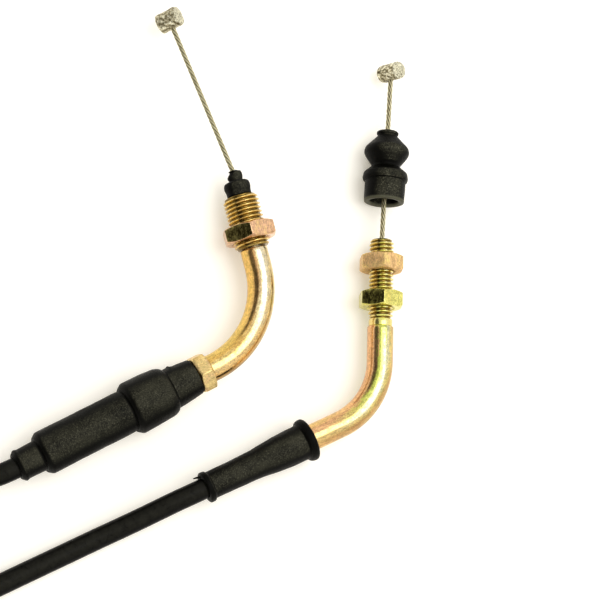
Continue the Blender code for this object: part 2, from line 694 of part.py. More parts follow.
def make_coil_tie(number, angle):
    """A flat strap looped once round the coil's bundle."""
    name = "coil_tie_" + str(number)
    place = Matrix.Translation((COIL_CENTRE[0], COIL_CENTRE[1], 0.0)) @ Matrix.Rotation(radians(angle), 4, "Z")
    low = (COIL_INNER_R - GAP, COIL_BOTTOM - GAP)
    high = (COIL_OUTER_R + GAP, COIL_TOP + GAP)
    loops = []
    for grow in (0.0, TIE_THICKNESS):
        loops.append([(low[0] - grow, low[1] - grow), (high[0] + grow, low[1] - grow),
                      (high[0] + grow, high[1] + grow), (low[0] - grow, high[1] + grow)])
    sections = []
    for half, loop in ((-1, loops[1]), (1, loops[1]), (1, loops[0]), (-1, loops[0])):
        stand = place @ Matrix.Translation((0.0, half * TIE_WIDTH / 2, 0.0)) @ Matrix.Rotation(pi / 2, 4, "X")
        sections.append((stand, loop))
    skin(name, place, sections, black_plastic(name))


def make_conduit():
    make_run("conduit_grip_run", grip_frames()[1], GRIP_JACKET_START, BOOT_END, GRIP_RUN_ROUTE)
    make_run("conduit_carb_run", carb_frames()[1], CARB_JACKET_START, SLEEVE_END, CARB_RUN_ROUTE)
    make_conduit_coil()
    for number, angle in enumerate(TIE_ANGLES, 1):
        make_coil_tie(number, angle)


clear_scene()
make_grip_end()
make_carb_end()
make_conduit()
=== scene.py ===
"""Looks of a scooter throttle cable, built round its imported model. Lengths are millimetres."""
from math import atan2, ceil, cos, pi, radians, sin, tan

import bpy
from mathutils import Matrix, Vector, noise


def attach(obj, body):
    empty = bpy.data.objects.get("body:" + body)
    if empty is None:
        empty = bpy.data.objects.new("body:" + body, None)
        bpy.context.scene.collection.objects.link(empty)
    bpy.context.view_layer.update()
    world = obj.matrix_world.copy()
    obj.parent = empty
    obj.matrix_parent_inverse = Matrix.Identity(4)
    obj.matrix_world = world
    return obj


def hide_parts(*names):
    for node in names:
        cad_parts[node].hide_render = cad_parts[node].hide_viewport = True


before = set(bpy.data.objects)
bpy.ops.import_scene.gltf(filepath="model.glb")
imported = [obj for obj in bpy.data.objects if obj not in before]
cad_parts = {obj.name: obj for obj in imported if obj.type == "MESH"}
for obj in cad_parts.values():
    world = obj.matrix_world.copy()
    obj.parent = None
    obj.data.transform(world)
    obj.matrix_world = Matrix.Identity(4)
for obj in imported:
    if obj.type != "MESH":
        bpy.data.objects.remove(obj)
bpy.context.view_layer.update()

MM = 0.001
UP = Vector((0.0, 0.0, 1.0))

# Lines of the two ends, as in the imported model
GRIP_CORNER = (14.7, -19.7)
GRIP_HEIGHT = 6.82
GRIP_INLET_HEADING = 105.2
GRIP_OUTLET_HEADING = 208.8
GRIP_BEND_R = 22.0
GRIP_TUBE_R = 3.3
GRIP_TUBE_BORE_R = 2.1
GRIP_SPIGOT_R = 2.5
BUSH_BOTTOM = 21.9
BUSH_TOP = 34.7
BUSH_CREST_R = 4.35
BUSH_ROOT_R = 3.7
BUSH_BORE_R = 2.8
THREAD_PITCH = 1.0
GRIP_NUT_BOTTOM = 23.6
GRIP_NUT_TOP = 27.6
GRIP_NUT_FLATS = 12.0
GRIP_NUT_TURN = -10.4
CAP_BOTTOM = 35.0
CAP_SHOULDER = 38.6
CAP_TOP = 41.4
GRIP_WIRE_HEADING = 113.4
GRIP_WIRE_CROSSING = 40.5
SCREW_HEAD_START = 18.9
SCREW_HEAD_END = 22.3
SCREW_FLATS = 8.6
SCREW_TURN = -8.5
SCREW_CREST_R = 2.95
SCREW_ROOT_R = 2.4
SCREW_THREAD_START = 32.0
SCREW_END = 48.0
SCREW_BORE_R = 1.85
BOOT_START = 22.5
BOOT_COLLAR_END = 29.5
BOOT_RING_END = 40.5
BOOT_BODY_END = 63.6
BOOT_END = 70.1
BARREL_START = 38.6
BARREL_END = 62.0
BARREL_R = 4.1
ADJUSTER_NUT_START = 35.0

CARB_CORNER = (40.6, -35.6)
CARB_HEIGHT = 5.76
CARB_INLET_HEADING = 88.6
CARB_OUTLET_HEADING = 206.3
CARB_BEND_R = 18.0
CARB_TUBE_R = 3.2
CARB_TUBE_BORE_R = 2.1
CARB_THREAD_BORE_R = 1.6
CARB_THREAD_CREST_R = 3.0
CARB_THREAD_ROOT_R = 2.39
CARB_NECK_R = 2.87
CARB_NECK_BOTTOM = 19.6
CARB_THREAD_BOTTOM = 21.4
CARB_THREAD_TOP = 41.1
CARB_TUBE_END = 21.5
CARB_NUT_FLATS = 10.0
CARB_NUT_HEIGHT = 4.0
LOCK_NUT_BOTTOM = 24.1
ADJUST_NUT_BOTTOM = 33.2
CARB_NUT_TURN = -8.6
SLEEVE_START = 19.2
SLEEVE_FLANGE_END = 21.3
SLEEVE_WIDE_END = 26.4
SLEEVE_TAPER_END = 35.4
SLEEVE_RIM_START = 46.4
SLEEVE_END = 47.9
CARB_FERRULE_END = 26.5
FERRULE_R = 3.1
CARB_WIRE_HEADING = 86.4
CARB_WIRE_CROSSING = 41.0

# Conduit
WIRE_R = 0.6
CONDUIT_R = 2.5
GRIP_JACKET_START = 55.9
CARB_JACKET_START = 24.7
GRIP_RUN_ROUTE = [
    (-52.8, -56.1, 6.4), (-57.8, -56.9, 6.3), (-62.8, -56.5, 6.7), (-67.2, -55.2, 7.3)]
GRIP_JOIN = [(-71.6, -52.6, 8.1), (-75.4, -49.4, 8.7)]
CARB_RUN_ROUTE = [
    (-9.1, -60.1, 5.3), (-14.4, -62.8, 4.4), (-19.8, -65.5, 3.4), (-27.0, -69.0, 2.65),
    (-39.5, -75.2, 2.55), (-53.0, -81.9, 2.55), (-62.9, -86.7, 2.75), (-71.9, -90.9, 3.2)]
CARB_JOIN = [(-84.5, -97.1, 3.75)]
COIL_CENTRE = (-105.6, -68.4)
COIL_INNER_R = 17.4
COIL_OUTER_R = 37.6
COIL_BOTTOM = 1.4
COIL_TOP = 11.5
COIL_TURNS = 6.712
COIL_LANES = (35.0, 20.0)  # outermost and innermost lane
LANE_COUNT = 4
COIL_LAYERS = (8.9, 3.9)  # heights of the upper and the lower layer
COIL_START = 40.0  # where the conduit comes onto the coil
SHIFT = 0.45  # share of a turn over which the conduit moves to the next lane
DROP = 0.388  # share of a turn over which it goes down to the lower layer
TIE_ANGLES = (150.0, 250.0)


# -------- placing

def heading(angle):
    return Vector((cos(radians(angle)), sin(radians(angle)), 0.0))


def level_frame(point, angle, height):
    """Frame whose +Z runs level along the heading and whose +Y points straight up."""
    along = heading(angle)
    place = Matrix((UP.cross(along), UP, along)).transposed().to_4x4()
    place.translation = Vector((point[0], point[1], height))
    return place


def moved(place, distance):
    return place @ Matrix.Translation((0.0, 0.0, distance))


def rolled(place, angle):
    """The frame rolled about its own +Z; negative angles tip its +Y towards its +X."""
    return place @ Matrix.Rotation(radians(angle), 4, "Z")


GRIP_INLET = level_frame(GRIP_CORNER, GRIP_INLET_HEADING, GRIP_HEIGHT)
GRIP_OUTLET = level_frame(GRIP_CORNER, GRIP_OUTLET_HEADING, GRIP_HEIGHT)
CARB_INLET = level_frame(CARB_CORNER, CARB_INLET_HEADING, CARB_HEIGHT)
CARB_OUTLET = level_frame(CARB_CORNER, CARB_OUTLET_HEADING, CARB_HEIGHT)
GRIP_WIRE = level_frame(moved(GRIP_INLET, GRIP_WIRE_CROSSING).translation, GRIP_WIRE_HEADING, GRIP_HEIGHT)
CARB_WIRE = level_frame(moved(CARB_INLET, CARB_WIRE_CROSSING).translation, CARB_WIRE_HEADING, CARB_HEIGHT)


# -------- meshing

def linked(name, data):
    item = bpy.data.objects.new(name, data)
    bpy.context.scene.collection.objects.link(item)
    return item


def build(name, rows, lays, material, body, stands_for, closed, sharp):
    """A piece through rows of points.  lays holds each point's place in the straight, unbent
    piece, which the materials read."""
    mesh = bpy.data.meshes.new(name)
    width = len(rows[0])
    points = [point * MM for row in rows for point in row]
    faces = []
    for i in range(len(rows) if closed else len(rows) - 1):
        j = (i + 1) % len(rows)
        for k in range(width):
            n = (k + 1) % width
            faces.append((i * width + k, i * width + n, j * width + n, j * width + k))
    if not closed:
        faces.append(tuple(range(width))[::-1])
        faces.append(tuple((len(rows) - 1) * width + k for k in range(width)))
    mesh.from_pydata(points, [], faces)
    spot = mesh.attributes.new("lay", "FLOAT_VECTOR", "POINT")
    flat = [value for row in lays for lay in row for value in lay]
    spot.data.foreach_set("vector", flat)
    mesh.shade_smooth()
    mesh.set_sharp_from_angle(angle=radians(sharp))
    mesh.materials.append(material)
    outward(mesh)
    item = linked(name, mesh)
    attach(item, body)
    if stands_for:
        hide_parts(*stands_for)
    return item


def outward(mesh):
    """Turns the faces round if the closed mesh holds a negative volume."""
    volume = 0.0
    for face in mesh.polygons:
        first, *others = [mesh.vertices[v].co for v in face.vertices]
        volume += sum(first.dot(a.cross(b)) for a, b in zip(others, others[1:]))
    if volume < 0:
        mesh.flip_normals()


def around(count):
    """Angles evenly round a full turn."""
    return [2 * pi * k / count for k in range(count)]


def filleted(outline, steps=4):
    """(distance, radius) points of a turned outline, with the corners that have a third value
    rounded off by that radius."""
    result = []
    for index, point in enumerate(outline):
        size = point[2] if len(point) > 2 else 0.0
        here = Vector(point[:2])
        if not size or index in (0, len(outline) - 1):
            result.append(tuple(here))
            continue
        before = Vector(outline[index - 1][:2]) - here
        after = Vector(outline[index + 1][:2]) - here
        size = min(size, before.length * 0.48, after.length * 0.48)
        a = here + before.normalized() * size
        b = here + after.normalized() * size
        for k in range(steps + 1):
            t = k / steps
            result.append(tuple(a * (1 - t) ** 2 + here * 2 * t * (1 - t) + b * t * t))
    return result


def turned(name, place, outline, material, body, stands_for, sides=96, wobble=0.0,
           closed=True, sharp=50, shape=None):
    """A piece turned about the frame's +Z from (distance, radius) points, outside then inside.
    wobble is how far the soft surface strays; shape(point) moves a point of the turned form."""
    rows, lays = [], []
    for distance, radius in outline:
        row, lay = [], []
        for angle in around(sides):
            x, y = radius * sin(angle), radius * cos(angle)
            spot = Vector((x, y, distance))
            if shape:
                spot = shape(spot)
            if wobble:
                stray = noise.noise(spot * 0.16) + 0.5 * noise.noise(spot * 0.45)
                spot = spot + Vector((x, y, 0.0)).normalized() * wobble * stray
            row.append(place @ spot)
            lay.append((x, y, distance))
        rows.append(row)
        lays.append(lay)
    build(name, rows, lays, material, body, stands_for, closed, sharp)


def tooth(phase):
    """Height of a thread's profile from its root at 0 to its crest at 1."""
    folded = abs((phase % 1.0) - 0.5) * 2
    return min(max((folded - 0.22) / 0.6, 0.0), 1.0)


def thread_radius(z, angle, start, end, crest_r, root_r, fade=0.7):
    """Radius of a right-hand thread that fades into its root at both ends."""
    near = max(min((z - start) / fade, (end - z) / fade, 1.0), 0.0)
    return root_r + (crest_r - root_r) * min(tooth(z / THREAD_PITCH + angle / (2 * pi)), near)


def thread_ring(angles, z, start, end, crest_r, root_r):
    radii = [thread_radius(z, a, start, end, crest_r, root_r) for a in angles]
    return [(r * sin(a), r * cos(a), z) for r, a in zip(radii, angles)]


def hexagon(flats, corner_r=0.35, side_points=7, corner_points=5):
    """Outline of a hexagon with a corner at +Y and slightly rounded corners."""
    middle = Vector((0.0, (flats / 2 - corner_r) / cos(pi / 6)))

    def on_corner(side, share):
        angle = pi / 3 * (share - 0.5)
        return Matrix.Rotation(-side * pi / 3, 2) @ (middle + Vector((sin(angle), cos(angle))) * corner_r)

    points = []
    for side in range(6):
        points += [on_corner(side, k / (corner_points - 1)) for k in range(corner_points)]
        last, following = points[-1], on_corner(side + 1, 0.0)
        points += [last.lerp(following, k / side_points) for k in range(1, side_points)]
    return points


def hex_rows(start, end, flats, washer=0.475):
    """Rings of (x, y, z) up a hexagon whose corners are cut by a cone at either end, and the
    angles of their points.  washer is the radius of the round end face as a share of the flats."""
    edge = 0.11
    outline = hexagon(flats)
    washer_r = flats * washer
    rows = []
    for face, inwards in ((start, 1), (end, -1)):
        half = [[] for _ in range(5)]
        for p in outline:
            cut = max(p.length - washer_r, 0.0) * 0.5
            profile = (
                (0.0, washer_r - edge * 1.5), (edge * 0.2, washer_r),
                (max(cut - edge * 0.6, edge * 0.5), max(p.length - edge, washer_r)),
                (cut + edge, p.length), ((end - start) * 0.3, p.length))
            for ring, (rise, radius) in zip(half, profile):
                ring.append((*(p.normalized() * radius), face + inwards * rise))
        rows += half[::inwards]
    return rows, [atan2(p.x, p.y) for p in outline]


def ring_at(angles, radius, z):
    return [(radius * sin(a), radius * cos(a), z) for a in angles]


def placed(name, place, rows, material, body, stands_for, closed=True, sharp=40):
    world = [[place @ Vector(p) for p in row] for row in rows]
    return build(name, world, rows, material, body, stands_for, closed, sharp)


def nut(name, place, start, end, flats, bore_r, turn, material, body):
    rows, angles = hex_rows(start, end, flats)
    sink = 0.45
    chamfer = ((sink, 0.0), (sink * 0.8, sink * 0.25), (0.0, sink))
    rows += [ring_at(angles, bore_r + wider, end - depth) for wider, depth in chamfer]
    rows += [ring_at(angles, bore_r + wider, start + depth) for wider, depth in chamfer[::-1]]
    placed(name, rolled(place, turn), rows, material, body, [name])


# -------- materials

class Nodes:
    """A node tree whose nodes are added with their first inputs set or linked."""

    def __init__(self, owner):
        owner.use_nodes = True
        self.tree = owner.node_tree

    def put(self, socket, value):
        if isinstance(value, bpy.types.NodeSocket):
            self.tree.links.new(value, socket)
        else:
            socket.default_value = value

    def fill(self, node, values):
        for socket, value in values.items():
            self.put(node.inputs[socket], value)

    def add(self, kind, *values):
        node = self.tree.nodes.new(kind)
        for socket, value in zip(node.inputs, values):
            self.put(socket, value)
        return node

    def math(self, kind, a, b=0.0, c=0.0):
        node = self.add("ShaderNodeMath", a, b, c)
        node.operation = kind
        return node.outputs[0]

    def weigh(self, first, share, second, other):
        """The sum of two values, each by its own share."""
        return self.math("MULTIPLY_ADD", first, share, self.math("MULTIPLY", second, other))

    def within(self, value, low, high, to_low=0.0, to_high=1.0):
        """The value's range from low to high carried smoothly onto another."""
        node = self.add("ShaderNodeMapRange", value, low, high, to_low, to_high)
        node.interpolation_type = "SMOOTHSTEP"
        return node.outputs[0]

    def axis(self, vector, letter):
        return self.add("ShaderNodeSeparateXYZ", vector).outputs[letter]


class Paint(Nodes):
    """A node material round one Principled shader.  Its patterns are laid out in millimetres."""

    def __init__(self, name, metallic, laid=True, specular=0.5):
        self.material = bpy.data.materials.new(name)
        super().__init__(self.material)
        self.shader = self.tree.nodes["Principled BSDF"]
        self.fill(self.shader, {"Metallic": metallic, "Specular IOR Level": specular})
        if laid:
            spot = self.add("ShaderNodeAttribute")
            spot.attribute_name = "lay"
            self.spot = spot.outputs["Vector"]
        else:
            spot = self.add("ShaderNodeTexCoord")
            self.spot = self.scaled(spot.outputs["Object"], (1 / MM, 1 / MM, 1 / MM))

    def scaled(self, vector, scale):
        node = self.add("ShaderNodeMapping", vector)
        node.inputs["Scale"].default_value = scale
        return node.outputs["Vector"]

    def noise(self, size, stretch=1.0, detail=3.0, roughness=0.55, distortion=0.0):
        """Noise whose features are size wide, and stretch times as long as they are wide."""
        node = self.add("ShaderNodeTexNoise",
                        self.scaled(self.spot, (1 / size, 1 / size, 1 / size / stretch)))
        self.fill(node, {"Scale": 1.0, "Detail": detail, "Roughness": roughness, "Distortion": distortion})
        return node.outputs["Fac"]

    def along(self):
        """Place along the piece's own axis."""
        return self.axis(self.spot, "Z")

    def reach(self):
        """Distance from the piece's own axis."""
        node = self.add("ShaderNodeVectorMath", self.scaled(self.spot, (1.0, 1.0, 0.0)))
        node.operation = "LENGTH"
        return node.outputs["Value"]

    def top(self, low, high):
        """How far the surface faces up, the mask of a painted sheen."""
        facing = self.add("ShaderNodeNewGeometry").outputs["Normal"]
        return self.within(self.axis(facing, "Z"), low, high)

    def towards(self, turn):
        """Distance along the direction that lies turn degrees round the piece's own axis."""
        way = (sin(radians(turn)), cos(radians(turn)), 0.0)
        node = self.add("ShaderNodeVectorMath", self.spot, way)
        node.operation = "DOT_PRODUCT"
        return node.outputs["Value"]

    def ramp(self, value, stops):
        node = self.add("ShaderNodeValToRGB", value)
        band = node.color_ramp
        while len(band.elements) < len(stops):
            band.elements.new(0.5)
        for element, (place, colour) in zip(band.elements, stops):
            element.position = place
            element.color = (*colour, 1.0)
        return node.outputs["Color"]

    def mix(self, share, first, second):
        node = self.add("ShaderNodeMix", share)
        node.data_type = "RGBA"
        for socket, value in ((node.inputs[6], first), (node.inputs[7], second)):
            self.put(socket, value if isinstance(value, bpy.types.NodeSocket) else (*value, 1.0))
        return node.outputs[2]

    def bump(self, height, depth):
        """Bump of the given depth in millimetres."""
        node = self.add("ShaderNodeBump")
        self.fill(node, {"Strength": 1.0, "Distance": depth * MM, "Height": height})
        self.fill(self.shader, {"Normal": node.outputs["Normal"]})

    def finish(self, colour, pattern, rough):
        """The material.  Its roughness follows the pattern between the two values of rough."""
        self.fill(self.shader, {"Base Color": colour, "Roughness": self.within(pattern, 0.3, 0.7, *rough)})
        return self.material


GOLD = (0.80, 0.56, 0.17)


def zinc_paint(name, tones, laid=True, rough=(0.16, 0.34), stretch=6.0, cloud=2.2, drift=None,
               specks=0.35, side=None, painted_groove_shading=None, dent=0.006, painted_dark_face=None):
    """Yellow-chromated zinc.  drift is (along, tones): further tones that come in down the piece.
    side is the radius of a tube whose tones run across it, from its inner to its outer side: the chromate's
    own tints, with a pale painted highlight band and darker painted reflection bands.
    painted_groove_shading is the (root, crest, tone) of a thread: painted shade darkens its roots, and a
    painted highlight in that tone lies on its crests.
    painted_dark_face is the (flats, turn, tone) of a hexagon's face painted dark and mottled, as a painted
    reflection of the dark screen."""
    paint = Paint(name, 1.0, laid)
    slow = paint.noise(cloud, stretch, 3.0, 0.6)
    patch = paint.noise(0.8, 1.6, 3.0, 0.65, 0.3)
    fine = paint.noise(0.28, 1.5, 4.0, 0.7)
    scratch = paint.noise(0.12, 12.0, 2.0, 0.5)
    if side:
        # Painted reflection: the tones follow the tube's sides, so the pale band stays a painted highlight
        # and the darker tones painted reflection.
        across = paint.math("MULTIPLY_ADD", paint.axis(paint.spot, "X"), 0.5 / side, 0.14)
        tone = paint.math("ADD", across, paint.weigh(slow, 0.5, patch, 0.22))
    else:
        tone = paint.weigh(patch, 0.3, slow, 0.7)
    colour = paint.ramp(tone, tones)
    if drift:
        (low, high), others = drift
        down = paint.within(paint.math("MULTIPLY_ADD", slow, 8.0, paint.along()), low + 4.0, high + 4.0)
        colour = paint.mix(down, colour, paint.ramp(tone, others))
    blotch = paint.weigh(patch, 0.4, fine, 0.6)
    shade = paint.within(blotch, 0.38, 0.62, 0.46, 0.90)
    colour = paint.mix(shade, (0.0, 0.0, 0.0), colour)
    dark = paint.within(paint.math("MULTIPLY", fine, scratch), 0.28, 0.40, 0.0, specks)
    colour = paint.mix(dark, colour, (0.12, 0.075, 0.025))
    # Painted shade in the thread's roots and a painted highlight on its crests.
    if painted_groove_shading:
        root, crest, crest_highlight_tone = painted_groove_shading
        thread = paint.within(paint.reach(), crest + 0.02, crest + 0.10, 0.55, 0.0)
        colour = paint.mix(thread, colour, crest_highlight_tone)
        painted_root_shade = paint.within(paint.reach(), root + 0.02, root + (crest - root) * 0.7)
        colour = paint.mix(painted_root_shade, (0.20, 0.13, 0.03), colour)
    # Painted reflection: one hexagon face painted dark and mottled, as the metal there would mirror the dark
    # screen.
    if painted_dark_face:
        flats, turn, painted_dark_face_tone = painted_dark_face
        mottle = paint.within(blotch, 0.44, 0.62)
        face = paint.within(paint.towards(turn), flats / 2 - 0.12, flats / 2 - 0.03)
        colour = paint.mix(face, colour, paint.mix(mottle, (0.034, 0.025, 0.006), painted_dark_face_tone))
    height = paint.weigh(fine, 0.008, scratch, 0.0048)
    paint.bump(paint.math("MULTIPLY_ADD", patch, dent, height), 1.0)
    return paint.finish(colour, paint.noise(0.9, 3.0), rough)


def rubber_paint(name, share=0.45, painted_shade_bands=(), rim=None):
    """Moulded rubber: near-black, with a fine olive painted sheen in clouds, and dusty specks, on the
    surfaces that face up.
    painted_shade_bands lists the (low, high) bands along the piece that get no sheen or specks, as painted
    shade at steps and shoulders.
    rim is the (end, depth) of a lighter band with a ragged edge at the lip."""
    paint = Paint(name, 0.0, specular=0.05)
    bloom_and_sheen = paint.noise(3.5, 2.0, 4.0, 0.6)
    grain = paint.noise(0.22, 1.0, 2.0, 0.8)
    lint = paint.noise(0.4, 1.0, 3.0, 0.6, 0.6)
    # Painted sheen: the olive clouds and the dusty specks show only where the surface faces up.
    top = paint.top(0.66, 1.0)
    # Painted shade: in the listed bands, at steps and shoulders, the sheen and specks are left out so they
    # stay black.
    for low, high in painted_shade_bands:
        into = paint.within(paint.along(), low, low + 0.3, 1.0, 0.0)
        out = paint.within(paint.along(), high - 0.3, high)
        top = paint.math("MULTIPLY", top, paint.math("ADD", into, out))
    tone = paint.math("MULTIPLY", paint.within(paint.weigh(bloom_and_sheen, 0.5, grain, 0.6), 0.38, 0.70), top)
    colour = paint.mix(tone, (0.0012, 0.0012, 0.0006), (0.034, 0.033, 0.022))
    dust_and_sheen = paint.within(paint.math("MULTIPLY", grain, lint), 0.26, 0.40, 0.0, share)
    colour = paint.mix(paint.math("MULTIPLY", dust_and_sheen, top), colour, (0.105, 0.102, 0.070))
    if rim:
        end, depth = rim
        frayed = paint.math("MULTIPLY_ADD", lint, 0.5, paint.along())
        # A lighter colour in a ragged band at the lip.
        lighter_rim_band = paint.within(frayed, end, end + depth, 0.75, 0.0)
        colour = paint.mix(lighter_rim_band, colour, (0.090, 0.088, 0.058))
    paint.bump(paint.weigh(grain, 1.0, lint, 0.6), 0.05)
    return paint.finish(colour, bloom_and_sheen, (0.36, 0.52))


def jacket_plastic():
    """Extruded black plastic with faint scuffs that show lighter where it faces up, as a painted sheen."""
    paint = Paint("jacket_plastic", 0.0, laid=False, specular=0.05)
    scuff_and_sheen = paint.noise(1.6, 1.0, 4.0, 0.65, 0.4)
    grain = paint.noise(0.22, 1.0, 2.0, 0.6)
    # Painted sheen: the scuffs lighten the jacket only where it faces up.
    tone = paint.math("MULTIPLY", scuff_and_sheen, paint.top(0.5, 1.0))
    colour = paint.ramp(tone, [(0.1, (0.0010, 0.0009, 0.0007)), (0.65, (0.013, 0.0125, 0.009))])
    paint.bump(paint.weigh(grain, 1.0, scuff_and_sheen, 0.5), 0.022)
    return paint.finish(colour, scuff_and_sheen, (0.26, 0.42))


def wire_paint(name, laid=True):
    """Twisted steel wire: bright on the strands, with painted shade in dark grey-brown in the grooves between
    them.
    """
    paint = Paint(name, 1.0, laid)
    worn = paint.noise(0.7, 1.5, 3.0)
    fine = paint.noise(0.12, 3.0, 2.0)
    colour = paint.ramp(worn, [(0.3, (0.34, 0.30, 0.17)), (0.7, (0.62, 0.57, 0.37))])
    if laid:
        # Painted shade in the grooves between the strands.
        painted_groove_shading = paint.within(paint.reach(), WIRE_R * 0.76, WIRE_R * 0.97)
        colour = paint.mix(painted_groove_shading, (0.05, 0.042, 0.02), colour)
    paint.bump(fine, 0.01)
    return paint.finish(colour, worn, (0.28, 0.45))


def cast_paint(name, half):
    """Rough die-cast zinc with a grey skin, bright rubbed places and bright ends."""
    paint = Paint(name, 1.0)
    lump = paint.noise(0.8, 1.0, 4.0, 0.65)
    fine = paint.noise(0.32, 1.0, 3.0, 0.7)
    skin = [(0.38, (0.09, 0.07, 0.03)), (0.5, (0.46, 0.41, 0.26)), (0.60, (0.90, 0.86, 0.66))]
    colour = paint.ramp(lump, skin)
    end = paint.within(paint.math("ABSOLUTE", paint.along()), half - 0.35, half - 0.15)
    colour = paint.mix(paint.math("MULTIPLY", end, 0.7), colour, (0.74, 0.71, 0.54))
    colour = paint.mix(paint.within(fine, 0.46, 0.62, 0.0, 0.85), colour, (0.06, 0.05, 0.028))
    paint.bump(paint.weigh(lump, 1.0, fine, 0.6), 0.14)
    return paint.finish(colour, fine, (0.34, 0.55))


def plain_paint(name, metallic, cloud, fine, tones, rough, laid=False, specular=0.5, depth=0.01,
                grain_rough=False):
    """Soft clouds between two tones over a fine grain.  cloud and fine are what noise() takes.
    grain_rough lets the roughness follow the grain and not the clouds."""
    paint = Paint(name, metallic, laid, specular)
    clouds = paint.noise(*cloud)
    grain = paint.noise(*fine)
    paint.bump(grain, depth)
    colour = paint.ramp(clouds, list(zip((0.3, 0.7), tones)))
    return paint.finish(colour, grain if grain_rough else clouds, rough)


# -------- elbows

class Elbow:
    """The line down an elbow: its inlet line, the bend, its outlet line.  Distances are from the
    start of the bend, negative up the inlet line."""

    def __init__(self, corner, height, inlet_heading, outlet_heading, bend_r):
        self.height, self.bend_r, self.inlet_heading = height, bend_r, inlet_heading
        self.inlet = level_frame(corner, inlet_heading, height) @ Matrix.Rotation(pi, 4, "Y")
        self.outlet = level_frame(corner, outlet_heading, height)
        self.turn = inlet_heading + 180.0 - outlet_heading
        self.tangent = bend_r * tan(radians(self.turn) / 2.0)
        self.arc = bend_r * radians(self.turn)
        middle = (heading(inlet_heading) + heading(outlet_heading)).normalized()
        self.centre = Vector((*corner, 0.0)) + middle * bend_r / cos(radians(self.turn) / 2.0)

    def at(self, distance):
        if distance <= 0.0:
            return moved(self.inlet, distance - self.tangent)
        if distance >= self.arc:
            return moved(self.outlet, self.tangent + distance - self.arc)
        travel = self.inlet_heading + 180.0 - self.turn * distance / self.arc
        return level_frame(self.centre + heading(travel + 90.0) * self.bend_r, travel, self.height)

    def up(self, distance):
        """Where a distance up the inlet line from the corner lies on this line."""
        return self.tangent - distance

    def down(self, distance):
        """Where a distance down the outlet line from the corner lies on this line."""
        return self.arc + distance - self.tangent


GRIP_ELBOW = Elbow(GRIP_CORNER, GRIP_HEIGHT, GRIP_INLET_HEADING, GRIP_OUTLET_HEADING, GRIP_BEND_R)
CARB_ELBOW = Elbow(CARB_CORNER, CARB_HEIGHT, CARB_INLET_HEADING, CARB_OUTLET_HEADING, CARB_BEND_R)


def swept(name, elbow, outline, material, body, stands_for, sides=72, sharp=50):
    """A pipe along an elbow from (distance, radius) points, outside then inside.  A radius may be
    a function of the angle round the pipe."""
    rows, lays = [], []
    for index, (distance, radius) in enumerate(outline):
        following, following_radius = outline[(index + 1) % len(outline)]
        length = following - distance
        count = ceil(abs(length) / 0.8) if following_radius == radius and abs(length) > 1.2 else 1
        for stop in [distance + length * k / count for k in range(count)]:
            place = elbow.at(stop)
            ring = []
            for angle in around(sides):
                r = radius(angle) if callable(radius) else radius
                ring.append((r * sin(angle), r * cos(angle)))
            rows.append([place @ Vector((x, y, 0.0)) for x, y in ring])
            lays.append([(x, y, stop) for x, y in ring])
    build(name, rows, lays, material, body, stands_for, True, sharp)


# -------- grip end

def make_bush():
    angles = around(72)
    steps = round((BUSH_TOP - BUSH_BOTTOM) / THREAD_PITCH * 10)
    rows = []
    for step in range(steps + 1):
        z = BUSH_BOTTOM + (BUSH_TOP - BUSH_BOTTOM) * step / steps
        rows.append(thread_ring(angles, z, BUSH_BOTTOM, BUSH_TOP, BUSH_CREST_R, BUSH_ROOT_R))
    for radius, z in (
            (BUSH_BORE_R + 0.25, BUSH_TOP), (BUSH_BORE_R, BUSH_TOP - 0.3),
            (BUSH_BORE_R, BUSH_BOTTOM + 0.3), (BUSH_BORE_R + 0.25, BUSH_BOTTOM)):
        rows.append(ring_at(angles, radius, z))
    tones = [(0.36, (0.90, 0.62, 0.18)), (0.50, (0.98, 0.74, 0.28)), (0.64, (0.96, 0.66, 0.34))]
    # Painted shade in the thread's roots and a painted gold highlight on its crests.
    paint = zinc_paint("bush_zinc", tones, stretch=0.8, rough=(0.20, 0.34),
                       painted_groove_shading=(BUSH_ROOT_R, BUSH_CREST_R, GOLD))
    placed("bush_thread", GRIP_INLET, rows, paint, "grip_elbow", ["grip_threaded_bush"])


def make_grip_nut():
    tones = [(0.34, (1.0, 0.64, 0.36)), (0.50, (1.0, 0.60, 0.36)), (0.66, (1.0, 0.66, 0.30))]
    # One face painted dark and mottled, as painted reflection.
    paint = zinc_paint("grip_nut_zinc", tones, stretch=1.0, rough=(0.16, 0.28), specks=0.5, dent=0.02,
                       painted_dark_face=(GRIP_NUT_FLATS, 30.0, (0.25, 0.21, 0.07)))
    nut("grip_lock_nut", GRIP_INLET, GRIP_NUT_BOTTOM, GRIP_NUT_TOP, GRIP_NUT_FLATS,
        BUSH_CREST_R + 0.06, GRIP_NUT_TURN, paint, "grip_lock_nut")


def cap_shape(spot):
    """The cap's nub leans back towards the right and has a small lump on its left."""
    radius = Vector((spot.x, spot.y)).length
    if radius > 1.3:
        rise = max(spot.z - CAP_SHOULDER + 0.3, 0.0)
        spot = spot + Vector((-0.16 * rise, 0.0, 0.0))
        side = max(spot.x / radius, 0.0) ** 3
        lump = max(1.0 - abs(spot.z - CAP_SHOULDER - 1.15) / 0.75, 0.0)
        spot = spot + Vector((0.55 * side * lump ** 0.5, 0.0, 0.0))
    return spot


